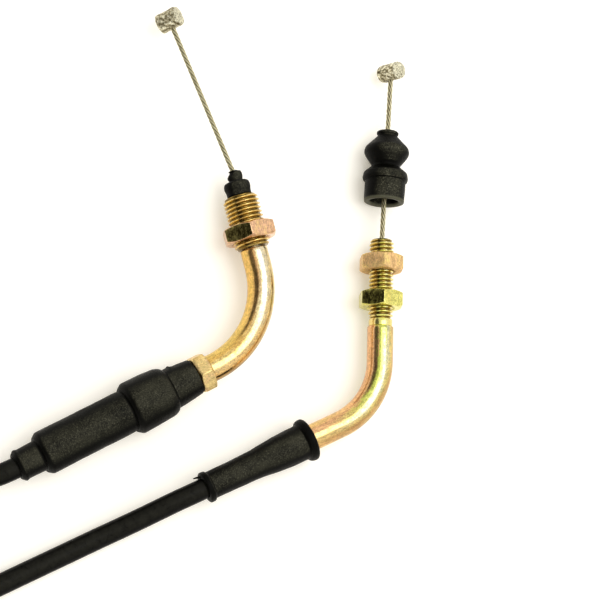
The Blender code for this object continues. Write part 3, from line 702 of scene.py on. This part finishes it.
def make_cap():
    outline = filleted([
        (33.0, 1.95), (33.0, 2.45, 0.1), (CAP_BOTTOM + 0.02, 2.45), (CAP_BOTTOM + 0.02, 2.98, 0.2),
        (CAP_BOTTOM + 1.1, 2.98, 0.5), (CAP_BOTTOM + 2.2, 3.3, 0.7), (CAP_SHOULDER - 0.1, 3.0, 0.7),
        (CAP_SHOULDER + 0.15, 1.62, 0.25),
        (CAP_SHOULDER + 0.9, 1.75, 0.3), (CAP_SHOULDER + 1.7, 1.72, 0.4), (CAP_TOP - 0.25, 1.32, 0.3),
        (CAP_TOP, 0.95, 0.1), (CAP_TOP - 0.6, 0.85), (CAP_SHOULDER - 0.3, 1.1), (CAP_SHOULDER - 0.9, 1.95)])
    turned("seal_cap", GRIP_INLET, outline, rubber_paint("cap_rubber", 0.8), "grip_elbow",
           ["grip_seal_cap"], sides=64, wobble=0.10, shape=cap_shape)


def make_grip_tube():
    e = GRIP_ELBOW
    outline = [
        (e.up(BUSH_BOTTOM + 2.1), GRIP_SPIGOT_R), (e.up(BUSH_BOTTOM - 0.3), GRIP_SPIGOT_R),
        (e.up(BUSH_BOTTOM - 0.3), GRIP_TUBE_R - 0.15), (e.up(BUSH_BOTTOM - 0.45), GRIP_TUBE_R),
        (e.down(SCREW_HEAD_START - 0.3), GRIP_TUBE_R), (e.down(SCREW_HEAD_START - 0.3), GRIP_SPIGOT_R),
        (e.down(SCREW_HEAD_START + 2.0), GRIP_SPIGOT_R),
        (e.down(SCREW_HEAD_START + 2.0), GRIP_TUBE_BORE_R), (e.up(BUSH_BOTTOM + 2.1), GRIP_TUBE_BORE_R)]
    # Tones across the tube: chromate tints with a pale painted highlight band; lower down the outermost dark
    # tone is painted reflection of the shade beneath.
    tones = [(0.05, (0.98, 0.62, 0.16)), (0.28, (0.96, 0.56, 0.22)), (0.44, (0.92, 0.76, 0.44)),
             (0.60, (0.96, 0.88, 0.66)), (0.78, (0.94, 0.74, 0.38)), (0.97, (0.84, 0.64, 0.24))]
    later = [(0.05, (0.94, 0.66, 0.18)), (0.30, (0.88, 0.54, 0.14)), (0.48, (0.94, 0.72, 0.30)),
             (0.66, (0.98, 0.70, 0.32)), (0.84, (0.92, 0.54, 0.17)), (0.98, (0.30, 0.17, 0.04))]
    paint = zinc_paint("grip_tube_zinc", tones, stretch=5.0, rough=(0.13, 0.24), cloud=2.0, side=GRIP_TUBE_R,
                       drift=((4.0, 24.0), later))
    swept("elbow_tube_grip", e, outline, paint, "grip_elbow", ["grip_elbow_tube"])


def make_screw():
    rows, angles = hex_rows(SCREW_HEAD_START, SCREW_HEAD_END, SCREW_FLATS, washer=0.485)
    for z in (SCREW_HEAD_END, SCREW_THREAD_START - 0.4):
        rows.append(ring_at(angles, SCREW_CREST_R, z))
    for step in range(161):
        z = SCREW_THREAD_START + (SCREW_END - SCREW_THREAD_START) * step / 160
        rows.append(thread_ring(angles, z, SCREW_THREAD_START, SCREW_END, SCREW_CREST_R, SCREW_ROOT_R))
    socket_end = SCREW_HEAD_START + 2.3
    rows.append(ring_at(angles, SCREW_BORE_R, SCREW_END))
    rows.append(ring_at(angles, SCREW_BORE_R, socket_end))
    rows.append(ring_at(angles, GRIP_SPIGOT_R + 0.3, socket_end))
    rows.append(ring_at(angles, GRIP_SPIGOT_R + 0.3, SCREW_HEAD_START))
    tones = [(0.34, (1.0, 0.68, 0.26)), (0.50, (1.0, 0.76, 0.32)), (0.66, (1.0, 0.66, 0.32))]
    paint = zinc_paint("screw_zinc", tones, stretch=1.0, rough=(0.30, 0.42), dent=0.008)
    placed("adjuster_screw_turned", rolled(GRIP_OUTLET, SCREW_TURN), rows, paint, "grip_elbow",
           ["adjuster_screw"])


def boot_shape(spot):
    """A small torn nick stands up on the collar, beside the ring."""
    radius = Vector((spot.x, spot.y)).length
    away = -spot.x / max(radius, 0.01)
    along = spot.z - (BOOT_COLLAR_END - 2.2)
    if radius > 4.0 and away > 0.8 and abs(along) < 1.4:
        lift = 0.32 * max(1.0 - abs(along - 0.25) / 0.5, 0.0)
        lift -= 0.2 * max(1.0 - abs(along + 0.55) / 0.45, 0.0)
        spot = spot + Vector((spot.x, spot.y, 0.0)).normalized() * lift * (away - 0.8) / 0.2
    return spot


def make_boot():
    ring, ring_end, body_end = BOOT_COLLAR_END, BOOT_RING_END, BOOT_BODY_END
    nut_room = 5.5
    outline = filleted([
        (BOOT_START, 3.35), (BOOT_START, 4.35, 0.35), (BOOT_START + 2.2, 4.62, 1.0), (ring - 1.6, 4.92, 0.8),
        (ring - 0.1, 4.95, 0.15), (ring + 0.25, 5.55, 0.5), (ring + 1.5, 6.12, 0.9), (ring + 5.0, 6.36, 1.5),
        (ring_end - 1.0, 6.5, 0.35), (ring_end + 0.15, 5.65, 0.2), (ring_end + 0.2, 5.12, 0.08),
        (ring_end + 1.1, 5.26, 0.3), (ring_end + 8.0, 5.2, 2.0), (body_end - 0.8, 5.24, 0.35),
        (body_end + 0.35, 4.35, 0.25), (body_end + 0.4, 3.74, 0.1), (body_end + 1.3, 3.72, 0.3),
        (BOOT_END - 1.7, 3.70, 0.3), (BOOT_END - 1.2, 3.9, 0.2), (BOOT_END - 0.85, 3.88, 0.2),
        (BOOT_END, 3.1, 0.2), (BOOT_END, CONDUIT_R + 0.06, 0.1), (BARREL_END + 1.2, CONDUIT_R + 0.3),
        (BARREL_END + 0.9, BARREL_R + 0.3), (BARREL_START - 0.2, BARREL_R + 0.3),
        (BARREL_START - 0.3, nut_room), (ADJUSTER_NUT_START - 2.4, nut_room),
        (ADJUSTER_NUT_START - 2.9, 3.3), (BOOT_START + 0.5, 3.25)])
    # Painted shade: both ends of the ring, the body's end and the mouth stay black.
    painted_shade_bands = ((ring_end - 0.8, ring_end + 0.8), (body_end - 0.6, body_end + 1.0),
             (BOOT_END - 0.9, BOOT_END + 1.0), (ring - 0.3, ring + 0.5))
    turned("boot_grip", GRIP_OUTLET, subdivided(outline, 1.2), rubber_paint("grip_boot_rubber", 0.45, painted_shade_bands),
           "conduit", ["grip_boot"], wobble=0.09, shape=boot_shape)


def subdivided(outline, step):
    """The outline with further points on its longer stretches."""
    result = []
    for point, following in zip(outline, outline[1:]):
        here, there = Vector(point), Vector(following)
        count = max(1, ceil((there - here).length / step))
        result += [tuple(here.lerp(there, k / count)) for k in range(count)]
    return result + [outline[-1]]


# -------- carburettor end

def make_carb_tube():
    e = CARB_ELBOW
    outline = []
    for step in range(198):
        z = CARB_THREAD_TOP - (CARB_THREAD_TOP - CARB_THREAD_BOTTOM) * step / 197
        outline.append((e.up(z), lambda a, z=z: thread_radius(
            z, -a, CARB_THREAD_BOTTOM, CARB_THREAD_TOP, CARB_THREAD_CREST_R, CARB_THREAD_ROOT_R)))
    outline += [
        (e.up(CARB_THREAD_BOTTOM - 0.1), CARB_NECK_R - 0.12), (e.up(CARB_THREAD_BOTTOM - 0.25), CARB_NECK_R),
        (e.up(CARB_NECK_BOTTOM), CARB_NECK_R), (e.up(CARB_NECK_BOTTOM - 0.08), CARB_NECK_R - 0.1),
        (e.up(CARB_NECK_BOTTOM - 0.16), CARB_TUBE_R - 0.12), (e.up(CARB_NECK_BOTTOM - 0.3), CARB_TUBE_R),
        (e.down(CARB_TUBE_END), CARB_TUBE_R), (e.down(CARB_TUBE_END), CARB_TUBE_BORE_R),
        (e.up(CARB_NECK_BOTTOM - 0.1), CARB_TUBE_BORE_R), (e.up(CARB_NECK_BOTTOM + 0.4), CARB_THREAD_BORE_R),
        (e.up(CARB_THREAD_TOP - 0.3), CARB_THREAD_BORE_R), (e.up(CARB_THREAD_TOP), CARB_THREAD_BORE_R + 0.25)]
    # Tones across the tube: chromate tints with a pale painted highlight band and darker tones as painted
    # reflection.
    tones = [(0.05, (0.96, 0.54, 0.26)), (0.20, (0.94, 0.54, 0.24)), (0.30, (0.62, 0.68, 0.12)),
             (0.48, (0.82, 0.86, 0.24)), (0.62, (0.96, 0.92, 0.58)), (0.76, (0.94, 0.74, 0.26)),
             (0.90, (0.66, 0.38, 0.15)), (0.98, (0.80, 0.54, 0.24))]
    later = [(0.05, (0.96, 0.64, 0.24)), (0.26, (0.92, 0.50, 0.25)), (0.44, (0.96, 0.60, 0.28)),
             (0.60, (0.94, 0.70, 0.28)), (0.78, (0.80, 0.52, 0.20)), (0.90, (0.62, 0.34, 0.14)),
             (0.98, (0.96, 0.66, 0.22))]
    # Painted shade in the thread's roots and a painted yellow highlight on its crests.
    painted_groove_shading = (CARB_THREAD_ROOT_R, CARB_THREAD_CREST_R, (0.84, 0.76, 0.26))
    paint = zinc_paint("carb_tube_zinc", tones, stretch=5.0, rough=(0.13, 0.24), cloud=2.0, side=CARB_TUBE_R,
                       drift=((9.0, 25.0), later), painted_groove_shading=painted_groove_shading)
    swept("elbow_tube_carb", e, outline, paint, "conduit", ["carb_elbow_tube"])


def make_carb_nuts():
    pink = [(0.34, (1.0, 0.64, 0.26)), (0.50, (1.0, 0.66, 0.32)), (0.66, (1.0, 0.74, 0.28))]
    yellow = [(0.34, (1.0, 0.90, 0.20)), (0.50, (1.0, 0.94, 0.28)), (0.66, (0.96, 0.82, 0.22))]
    # The lock nut gets one face painted dark and mottled, as painted reflection.
    painted_dark_face = (CARB_NUT_FLATS, 30.0, (0.34, 0.31, 0.08))
    for name, bottom, tones, rough, painted_dark_face, slot in (
            ("carb_adjust_nut", ADJUST_NUT_BOTTOM, pink, (0.50, 0.60), None, "zinc_nut_pink"),
            ("carb_lock_nut", LOCK_NUT_BOTTOM, yellow, (0.16, 0.28), painted_dark_face, "zinc_nut_yellow")):
        paint = zinc_paint(name + "_zinc", tones, stretch=1.0, rough=rough, specks=0.5, dent=0.018, painted_dark_face=painted_dark_face)
        nut(name, CARB_INLET, bottom, bottom + CARB_NUT_HEIGHT, CARB_NUT_FLATS, CARB_THREAD_CREST_R + 0.06,
            CARB_NUT_TURN, paint, name)


def make_sleeve():
    start, flange, wide, rim = SLEEVE_START, SLEEVE_FLANGE_END, SLEEVE_WIDE_END, SLEEVE_RIM_START
    outline = filleted([
        (start + 0.1, CARB_TUBE_R + 0.06), (start, 3.9, 0.2), (start + 0.05, 4.9, 0.2),
        (start + 0.5, 5.3, 0.3), (start + 1.2, 5.28, 0.25), (flange - 0.1, 5.0, 0.35),
        (flange + 0.1, 4.34, 0.2), (wide - 1.5, 4.36, 1.0), (wide + 0.8, 4.22, 1.2),
        (wide + 4.0, 3.92, 1.5), (SLEEVE_TAPER_END - 1.5, 3.5, 1.5),
        (SLEEVE_TAPER_END + 3.0, 3.42, 1.0), (rim - 0.2, 3.34, 0.2), (rim + 0.15, 3.78, 0.2),
        (SLEEVE_END - 0.25, 3.8, 0.3), (SLEEVE_END, 3.3, 0.15), (SLEEVE_END, CONDUIT_R + 0.06, 0.08),
        (CARB_FERRULE_END + 0.8, CONDUIT_R + 0.3), (CARB_FERRULE_END + 0.3, FERRULE_R + 0.3),
        (CARB_TUBE_END + 0.2, FERRULE_R + 0.3), (CARB_TUBE_END - 0.2, CARB_TUBE_R + 0.1)])
    # Painted shade: the flange and the rim stay black.
    painted_shade_bands = ((start - 1.0, flange + 0.4), (rim + 0.1, SLEEVE_END + 4.0))
    paint = rubber_paint("sleeve_rubber", 0.45, painted_shade_bands)
    turned("sleeve_carb", CARB_OUTLET, subdivided(outline, 1.2), paint, "conduit",
           ["carb_sleeve"], wobble=0.10)
    flash = moved(CARB_OUTLET, SLEEVE_END - 0.4) @ Matrix.Translation((-2.8, 0.3, 0.0))
    flash = flash @ Matrix.Rotation(radians(-10), 4, "Y")
    rows = []
    for z, half, thick in (
            (0.0, 0.9, 0.34), (0.7, 0.75, 0.30), (1.2, 0.5, 0.24), (1.7, 0.25, 0.16), (2.0, 0.08, 0.08)):
        rows.append([(thick * cos(a), half * sin(a), z) for a in around(16)])
    placed("sleeve_flash", flash, rows, paint, "conduit", (), closed=False)


def make_dust_boot():
    outline = filleted([
        (10.1, 3.5), (9.8, 3.7, 0.2), (9.6, 4.6, 0.2), (9.8, 4.98, 0.25), (12.0, 5.04, 0.8),
        (15.0, 4.98, 0.1), (15.1, 5.4, 0.1), (15.7, 5.62, 0.3), (17.1, 5.35, 0.35), (18.5, 3.66, 0.25),
        (18.9, 3.54, 0.2), (19.2, 3.66, 0.2), (21.3, 5.2, 0.4), (22.3, 5.68, 0.5), (23.5, 5.4, 0.5),
        (26.5, 2.48, 0.3),
        (26.95, 2.36, 0.1), (27.0, 2.66, 0.08), (27.5, 2.68, 0.15), (27.75, 2.4, 0.1), (28.0, 1.6, 0.3),
        (28.0, 0.72, 0.08), (27.4, 0.72), (26.6, 1.1), (24.4, 3.1), (22.8, 4.3), (21.9, 4.3), (20.1, 3.2),
        (18.9, 2.6), (18.4, 2.7), (16.9, 3.9), (15.6, 4.3), (14.8, 4.2), (14.2, 3.9), (11.2, 3.75)])
    # Painted shade: two narrow bands at steps of the bellows stay black.
    painted_shade_bands = ((15.0, 15.3), (18.3, 19.8))
    paint = rubber_paint("dust_boot_rubber", 0.8, painted_shade_bands, rim=(10.25, 0.5))
    turned("dust_boot", CARB_WIRE, subdivided(outline, 0.8), paint, "carb_dust_boot",
           ["carb_dust_boot"], wobble=0.12)


# -------- inner wires

STRANDS = 5
LAY_LENGTH = 7.4
STRAND_R = 0.25
# End, wire's frame, its hidden length and its reach; the nipple's radius, length and turn
WIRE_ENDS = (
    ("grip", GRIP_WIRE, 9.8, 41.0, 2.45, 5.6, 38.0),
    ("carb", CARB_WIRE, 5.0, 43.3, 2.2, 6.0, 63.0))


def strand_ring(z, points_each=8):
    """Outline of the twisted strands at a distance along the wire."""
    ring = []
    centre = WIRE_R - STRAND_R
    for angle in around(STRANDS * points_each):
        off = ((angle + pi / STRANDS) % (2 * pi / STRANDS)) - pi / STRANDS
        radius = centre * cos(off) + max(STRAND_R ** 2 - (centre * sin(off)) ** 2, 0.0) ** 0.5
        turned_by = angle + 2 * pi * z / LAY_LENGTH
        ring.append((radius * sin(turned_by), radius * cos(turned_by), z))
    return ring


def make_wire(end, place, hidden, reach):
    count = round((reach + hidden) / 0.3)
    rows = [strand_ring(-hidden + (reach + hidden) * k / count) for k in range(count + 1)]
    name = f"wire_{end}"
    placed(name, place, rows, wire_paint(name + "_steel"), f"{end}_pull", [f"{end}_wire"],
           closed=False, sharp=70)


def make_nipple(end, wire_place, reach, radius, length, turn):
    across = rolled(moved(wire_place, reach), -turn) @ Matrix.Rotation(pi / 2, 4, "Y")
    half = length / 2

    def cast(spot):
        """The uneven skin of a die casting."""
        out = Vector((spot.x, spot.y, 0.0))
        lump = noise.noise(spot * 0.9 + Vector((radius, length, turn))) + 0.5 * noise.noise(spot * 2.3)
        if out.length > 0.05:
            spot = spot + out.normalized() * 0.11 * lump
        spot.z += 0.07 * noise.noise(spot * 1.1 + Vector((3.0, 1.0, 2.0)))
        return spot

    outline = [(-half, 0.02), (-half, 0.7), (-half, 1.4)]
    outline += filleted([
        (-half, 1.5), (-half, radius - 0.05, 0.35), (-half + 0.9, radius, 0.3), (0.0, radius - 0.06, 0.8),
        (half - 0.9, radius, 0.3), (half, radius - 0.05, 0.35), (half, 1.5)])
    outline += [(half, 1.4), (half, 0.7), (half, 0.02)]
    name = f"nipple_{end}"
    turned(name, across, subdivided(outline, 0.45), cast_paint(name + "_zinc", half), f"{end}_pull",
           [f"{end}_nipple"], sides=56, closed=False, sharp=42, shape=cast)


# -------- ties of the coil

def rounded_loop(low, high, radius, steps=6):
    """(point, outward) pairs round a rectangle with rounded corners."""
    loop = []
    left, near, right, far = low[0] + radius, low[1] + radius, high[0] - radius, high[1] - radius
    for corner, first in (((right, far), 0), ((left, far), 90), ((left, near), 180), ((right, near), 270)):
        for k in range(steps + 1):
            out = heading(first + 90.0 * k / steps)
            loop.append((Vector((*corner, 0.0)) + out * radius, out))
    return loop


def strap_ring(point, out, half, thick):
    """The strap's section: 0.2 mm rounded edges, and a shallow channel along its outer face."""
    section = [
        (-thick, -half + 0.25), (-thick, half - 0.25), (-thick + 0.2, half), (thick - 0.2, half),
        (thick, half - 0.25), (thick, half - 0.9), (thick - 0.18, half - 1.05), (thick - 0.18, -half + 1.05),
        (thick, -half + 0.9), (thick, -half + 0.25), (thick - 0.2, -half), (-thick + 0.2, -half)]
    ring = []
    for off, side in section:
        p = point + out * off
        ring.append((p.x, side, p.y))
    return ring


def make_tie(number, angle):
    place = Matrix.Translation((*COIL_CENTRE, 0.0)) @ Matrix.Rotation(radians(angle), 4, "Z")
    low = (COIL_INNER_R - 0.75, COIL_BOTTOM - 0.75)
    high = (COIL_OUTER_R + 0.75, COIL_TOP + 0.75)
    name = f"coil_tie_{number}"
    paint = plain_paint("strap_nylon", 0.0, (1.5, 1.0, 3.0), (0.18, 1.0, 2.0),
                        ((0.007, 0.007, 0.007), (0.016, 0.016, 0.015)), (0.30, 0.42), True, 0.30)
    rows = [strap_ring(point, out, 2.0, 0.45) for point, out in rounded_loop(low, high, 2.9)]
    strap = placed(name + "_strap", place, rows, paint, "conduit", [name])
    rows = []
    for x, grow in ((13.2, -0.5), (13.35, -0.15), (13.7, 0.0), (15.9, 0.0), (16.25, -0.15), (16.4, -0.5)):
        loop = rounded_loop((-2.6 - grow, 4.2 - grow), (2.6 + grow, 8.6 + grow), 0.7)
        rows.append([(x, p.x, p.y) for p, _ in loop])
    head = placed(name + "_head", place, rows, paint, "conduit", (), closed=False)
    rows = []
    for k in range(9):
        rise = k / 8
        point = Vector((14.7 - 1.6 * rise ** 2, 3.9 + 9.0 * rise, 0.0))
        rows.append(strap_ring(point, heading(0.0), 2.0 - 4.0 * max(rise - 0.8, 0.0), 0.4))
    tail = placed(name + "_tail", place, rows, paint, "conduit", (), closed=False)
    return [strap, head, tail]


# -------- conduit

def smoothstep(t):
    t = min(max(t, 0.0), 1.0)
    return t * t * (3 - 2 * t)


def staircase(turn, first, count):
    """Lanes moved so far: one more at each of count shifts, a turn apart, from first on."""
    return sum(smoothstep((turn - first - k) / SHIFT) for k in range(count))


def coil_points():
    """Down the coil: inwards in the upper layer, down at the inside, outwards in the lower layer."""
    moves = LANE_COUNT - 1
    spacing = (COIL_LANES[0] - COIL_LANES[1]) / moves
    drop_start = LANE_COUNT - SHIFT - DROP
    points = []
    steps = round(COIL_TURNS * 40)
    for step in range(steps + 1):
        turn = COIL_TURNS * step / steps
        inwards = staircase(turn, 1.0 - SHIFT, moves)
        outwards = staircase(turn, drop_start + 1.0 - SHIFT, moves)
        radius = COIL_LANES[0] - spacing * (inwards - outwards)
        drop = smoothstep((turn - drop_start) / DROP)
        height = COIL_LAYERS[0] + (COIL_LAYERS[1] - COIL_LAYERS[0]) * drop
        spoke = heading(COIL_START + 360.0 * turn)
        points.append(Vector((*COIL_CENTRE, height)) + spoke * radius)
    return points


def spline_points(points, step):
    """Points at an even spacing along a Catmull-Rom curve through the given ones."""
    dense = []
    padded = [points[0] * 2 - points[1]] + points + [points[-1] * 2 - points[-2]]
    for index in range(1, len(padded) - 2):
        a, b, c, d = padded[index - 1:index + 3]
        for part in range(8):
            t = part / 8
            dense.append(0.5 * (2 * b + (c - a) * t + (2 * a - 5 * b + 4 * c - d) * t * t
                                + (3 * b - a - 3 * c + d) * t ** 3))
    dense.append(points[-1])
    even = [dense[0]]
    left = step
    for first, second in zip(dense, dense[1:]):
        span = (second - first).length
        while span > left:
            first = first.lerp(second, left / span)
            even.append(first)
            span -= left
            left = step
        left -= span
    even.append(dense[-1])
    return even


def conduit_points():
    ends = []
    for place, start, mouth, route in (
            (GRIP_OUTLET, GRIP_JACKET_START, BOOT_END, GRIP_RUN_ROUTE + GRIP_JOIN),
            (CARB_OUTLET, CARB_JACKET_START, SLEEVE_END, CARB_RUN_ROUTE + CARB_JOIN)):
        straight = [moved(place, q).translation for q in (start, (start + mouth) / 2, mouth + 1.5)]
        ends.append(straight + [Vector(p) for p in route])
    return spline_points(ends[0] + coil_points() + ends[1][::-1], 2.2)


def make_conduit():
    points = conduit_points()
    curve = bpy.data.curves.new("conduit_jacket", "CURVE")
    curve.dimensions = "3D"
    curve.bevel_depth = CONDUIT_R * MM
    curve.bevel_resolution = 6
    curve.use_fill_caps = True
    spline = curve.splines.new("POLY")
    spline.points.add(len(points) - 1)
    for slot, point in zip(spline.points, points):
        slot.co = (*(point * MM), 1.0)
    spline.use_smooth = True
    curve.materials.append(jacket_plastic())
    item = linked("conduit_jacket", curve)
    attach(item, "conduit")
    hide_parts("conduit_grip_run", "conduit_coil", "conduit_carb_run")


# -------- camera, floor and light

VIEW_TARGET = (22.4, -9.3, 0.0)
VIEW_WAY = (-0.25, -0.20, 0.947)  # from the target to the camera
VIEW_DISTANCE = 550.0
LENS = 135.3
FLOOR_HALF = 3000.0
FLOOR_GLOW = 0.24
STUDIO_LEVEL = 1.2
SCREEN_LEVEL = 0.15
SCREEN_EDGES = (("X", -0.42, -0.56), ("Z", 0.26, 0.42), ("Y", -0.80, -0.55), ("Y", 0.86, 0.66))
KEY_PLACE = (260.0, 40.0, 720.0)
KEY_AIM = (20.0, -10.0, 0.0)
KEY_SIZE = (500.0, 550.0)
KEY_WATTS = 1.9


def make_camera():
    away = Vector(VIEW_WAY).normalized()
    right = Vector((away.z, 0.0, -away.x)).normalized()
    data = bpy.data.cameras.new("camera")
    data.lens = LENS
    data.clip_start = 0.01
    camera = linked("camera", data)
    place = Matrix((right, away.cross(right), away)).transposed().to_4x4()
    place.translation = (Vector(VIEW_TARGET) + away * VIEW_DISTANCE) * MM
    camera.matrix_world = place
    bpy.context.scene.camera = camera


def make_floor():
    mesh = bpy.data.meshes.new("floor")
    half = FLOOR_HALF * MM
    corners = [(-half, -half, 0.0), (half, -half, 0.0), (half, half, 0.0), (-half, half, 0.0)]
    mesh.from_pydata(corners, [], [(0, 1, 2, 3)])
    material = bpy.data.materials.new("floor_paper")
    paper = Nodes(material)
    paper.fill(paper.tree.nodes["Principled BSDF"], {
        "Base Color": (0.93, 0.92, 0.90, 1.0), "Roughness": 0.9,
        "Emission Color": (1.0, 0.90, 0.66, 1.0), "Emission Strength": FLOOR_GLOW})
    mesh.materials.append(material)
    floor = linked("floor", mesh)


def make_world():
    """A pale studio with a dark screen on the left, which the metal mirrors as its dark streak."""
    world = bpy.data.worlds.new("studio")
    studio = Nodes(world)
    direction = studio.add("ShaderNodeTexCoord").outputs["Generated"]
    screen = 1.0
    for letter, clear, dark in SCREEN_EDGES:
        screen = studio.math("MULTIPLY", screen, studio.within(studio.axis(direction, letter), clear, dark))
    level = studio.math("MULTIPLY_ADD", screen, SCREEN_LEVEL - STUDIO_LEVEL, STUDIO_LEVEL)
    studio.fill(studio.tree.nodes["Background"], {"Color": (1.0, 0.985, 0.95, 1.0), "Strength": level})
    bpy.context.scene.world = world
    bpy.context.scene.view_settings.view_transform = "Standard"


def make_key():
    data = bpy.data.lights.new("key", "AREA")
    data.shape = "RECTANGLE"
    data.size = KEY_SIZE[0] * MM
    data.size_y = KEY_SIZE[1] * MM
    data.energy = KEY_WATTS
    light = linked("key", data)
    light.location = Vector(KEY_PLACE) * MM
    aim = Vector(KEY_AIM) * MM - light.location
    light.rotation_euler = aim.to_track_quat("-Z", "Y").to_euler()


def paint_kept():
    """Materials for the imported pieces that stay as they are."""
    tones = [(0.30, GOLD), (0.50, (0.88, 0.70, 0.33)), (0.70, (0.90, 0.50, 0.30))]
    zinc = zinc_paint("fittings_zinc", tones, laid=False)
    steel = plain_paint("fittings_steel", 1.0, (1.2, 1.0, 4.0), (0.2, 1.0, 3.0, 0.65),
                        ((0.20, 0.19, 0.17), (0.38, 0.37, 0.34)), (0.3, 0.5), depth=0.015, grain_rough=True)
    wire = wire_paint("core_wire_steel", laid=False)
    nylon = plain_paint("liner_nylon", 0.0, (2.0, 1.0, 3.0), (0.2, 1.0, 2.0),
                        ((0.66, 0.65, 0.60), (0.80, 0.79, 0.74)), (0.35, 0.5))
    kept = (
        (zinc, ("adjuster_lock_nut", "adjuster_barrel")),
        (steel, ("grip_conduit_ferrule", "carb_conduit_ferrule")),
        (steel, ("grip_casing_winding", "carb_casing_winding")),
        (wire, ("grip_elbow_core_wire", "carb_elbow_core_wire")),
        (nylon, ("grip_elbow_liner", "carb_elbow_liner")))
    for material, names in kept:
        for name in names:
            materials = bpy.data.objects[name].data.materials
            materials.clear()
            materials.append(material)


def main():
    make_camera()
    make_floor()
    make_world()
    make_key()
    make_bush()
    make_grip_nut()
    make_cap()
    make_grip_tube()
    make_screw()
    make_boot()
    make_carb_tube()
    make_carb_nuts()
    make_sleeve()
    make_dust_boot()
    for end, place, hidden, reach, *_ in WIRE_ENDS:
        make_wire(end, place, hidden, reach)
    for end, place, _, reach, radius, length, turn in WIRE_ENDS:
        make_nipple(end, place, reach, radius, length, turn)
    ties = make_tie(1, TIE_ANGLES[0]) + make_tie(2, TIE_ANGLES[1])
    make_conduit()
    paint_kept()


main()
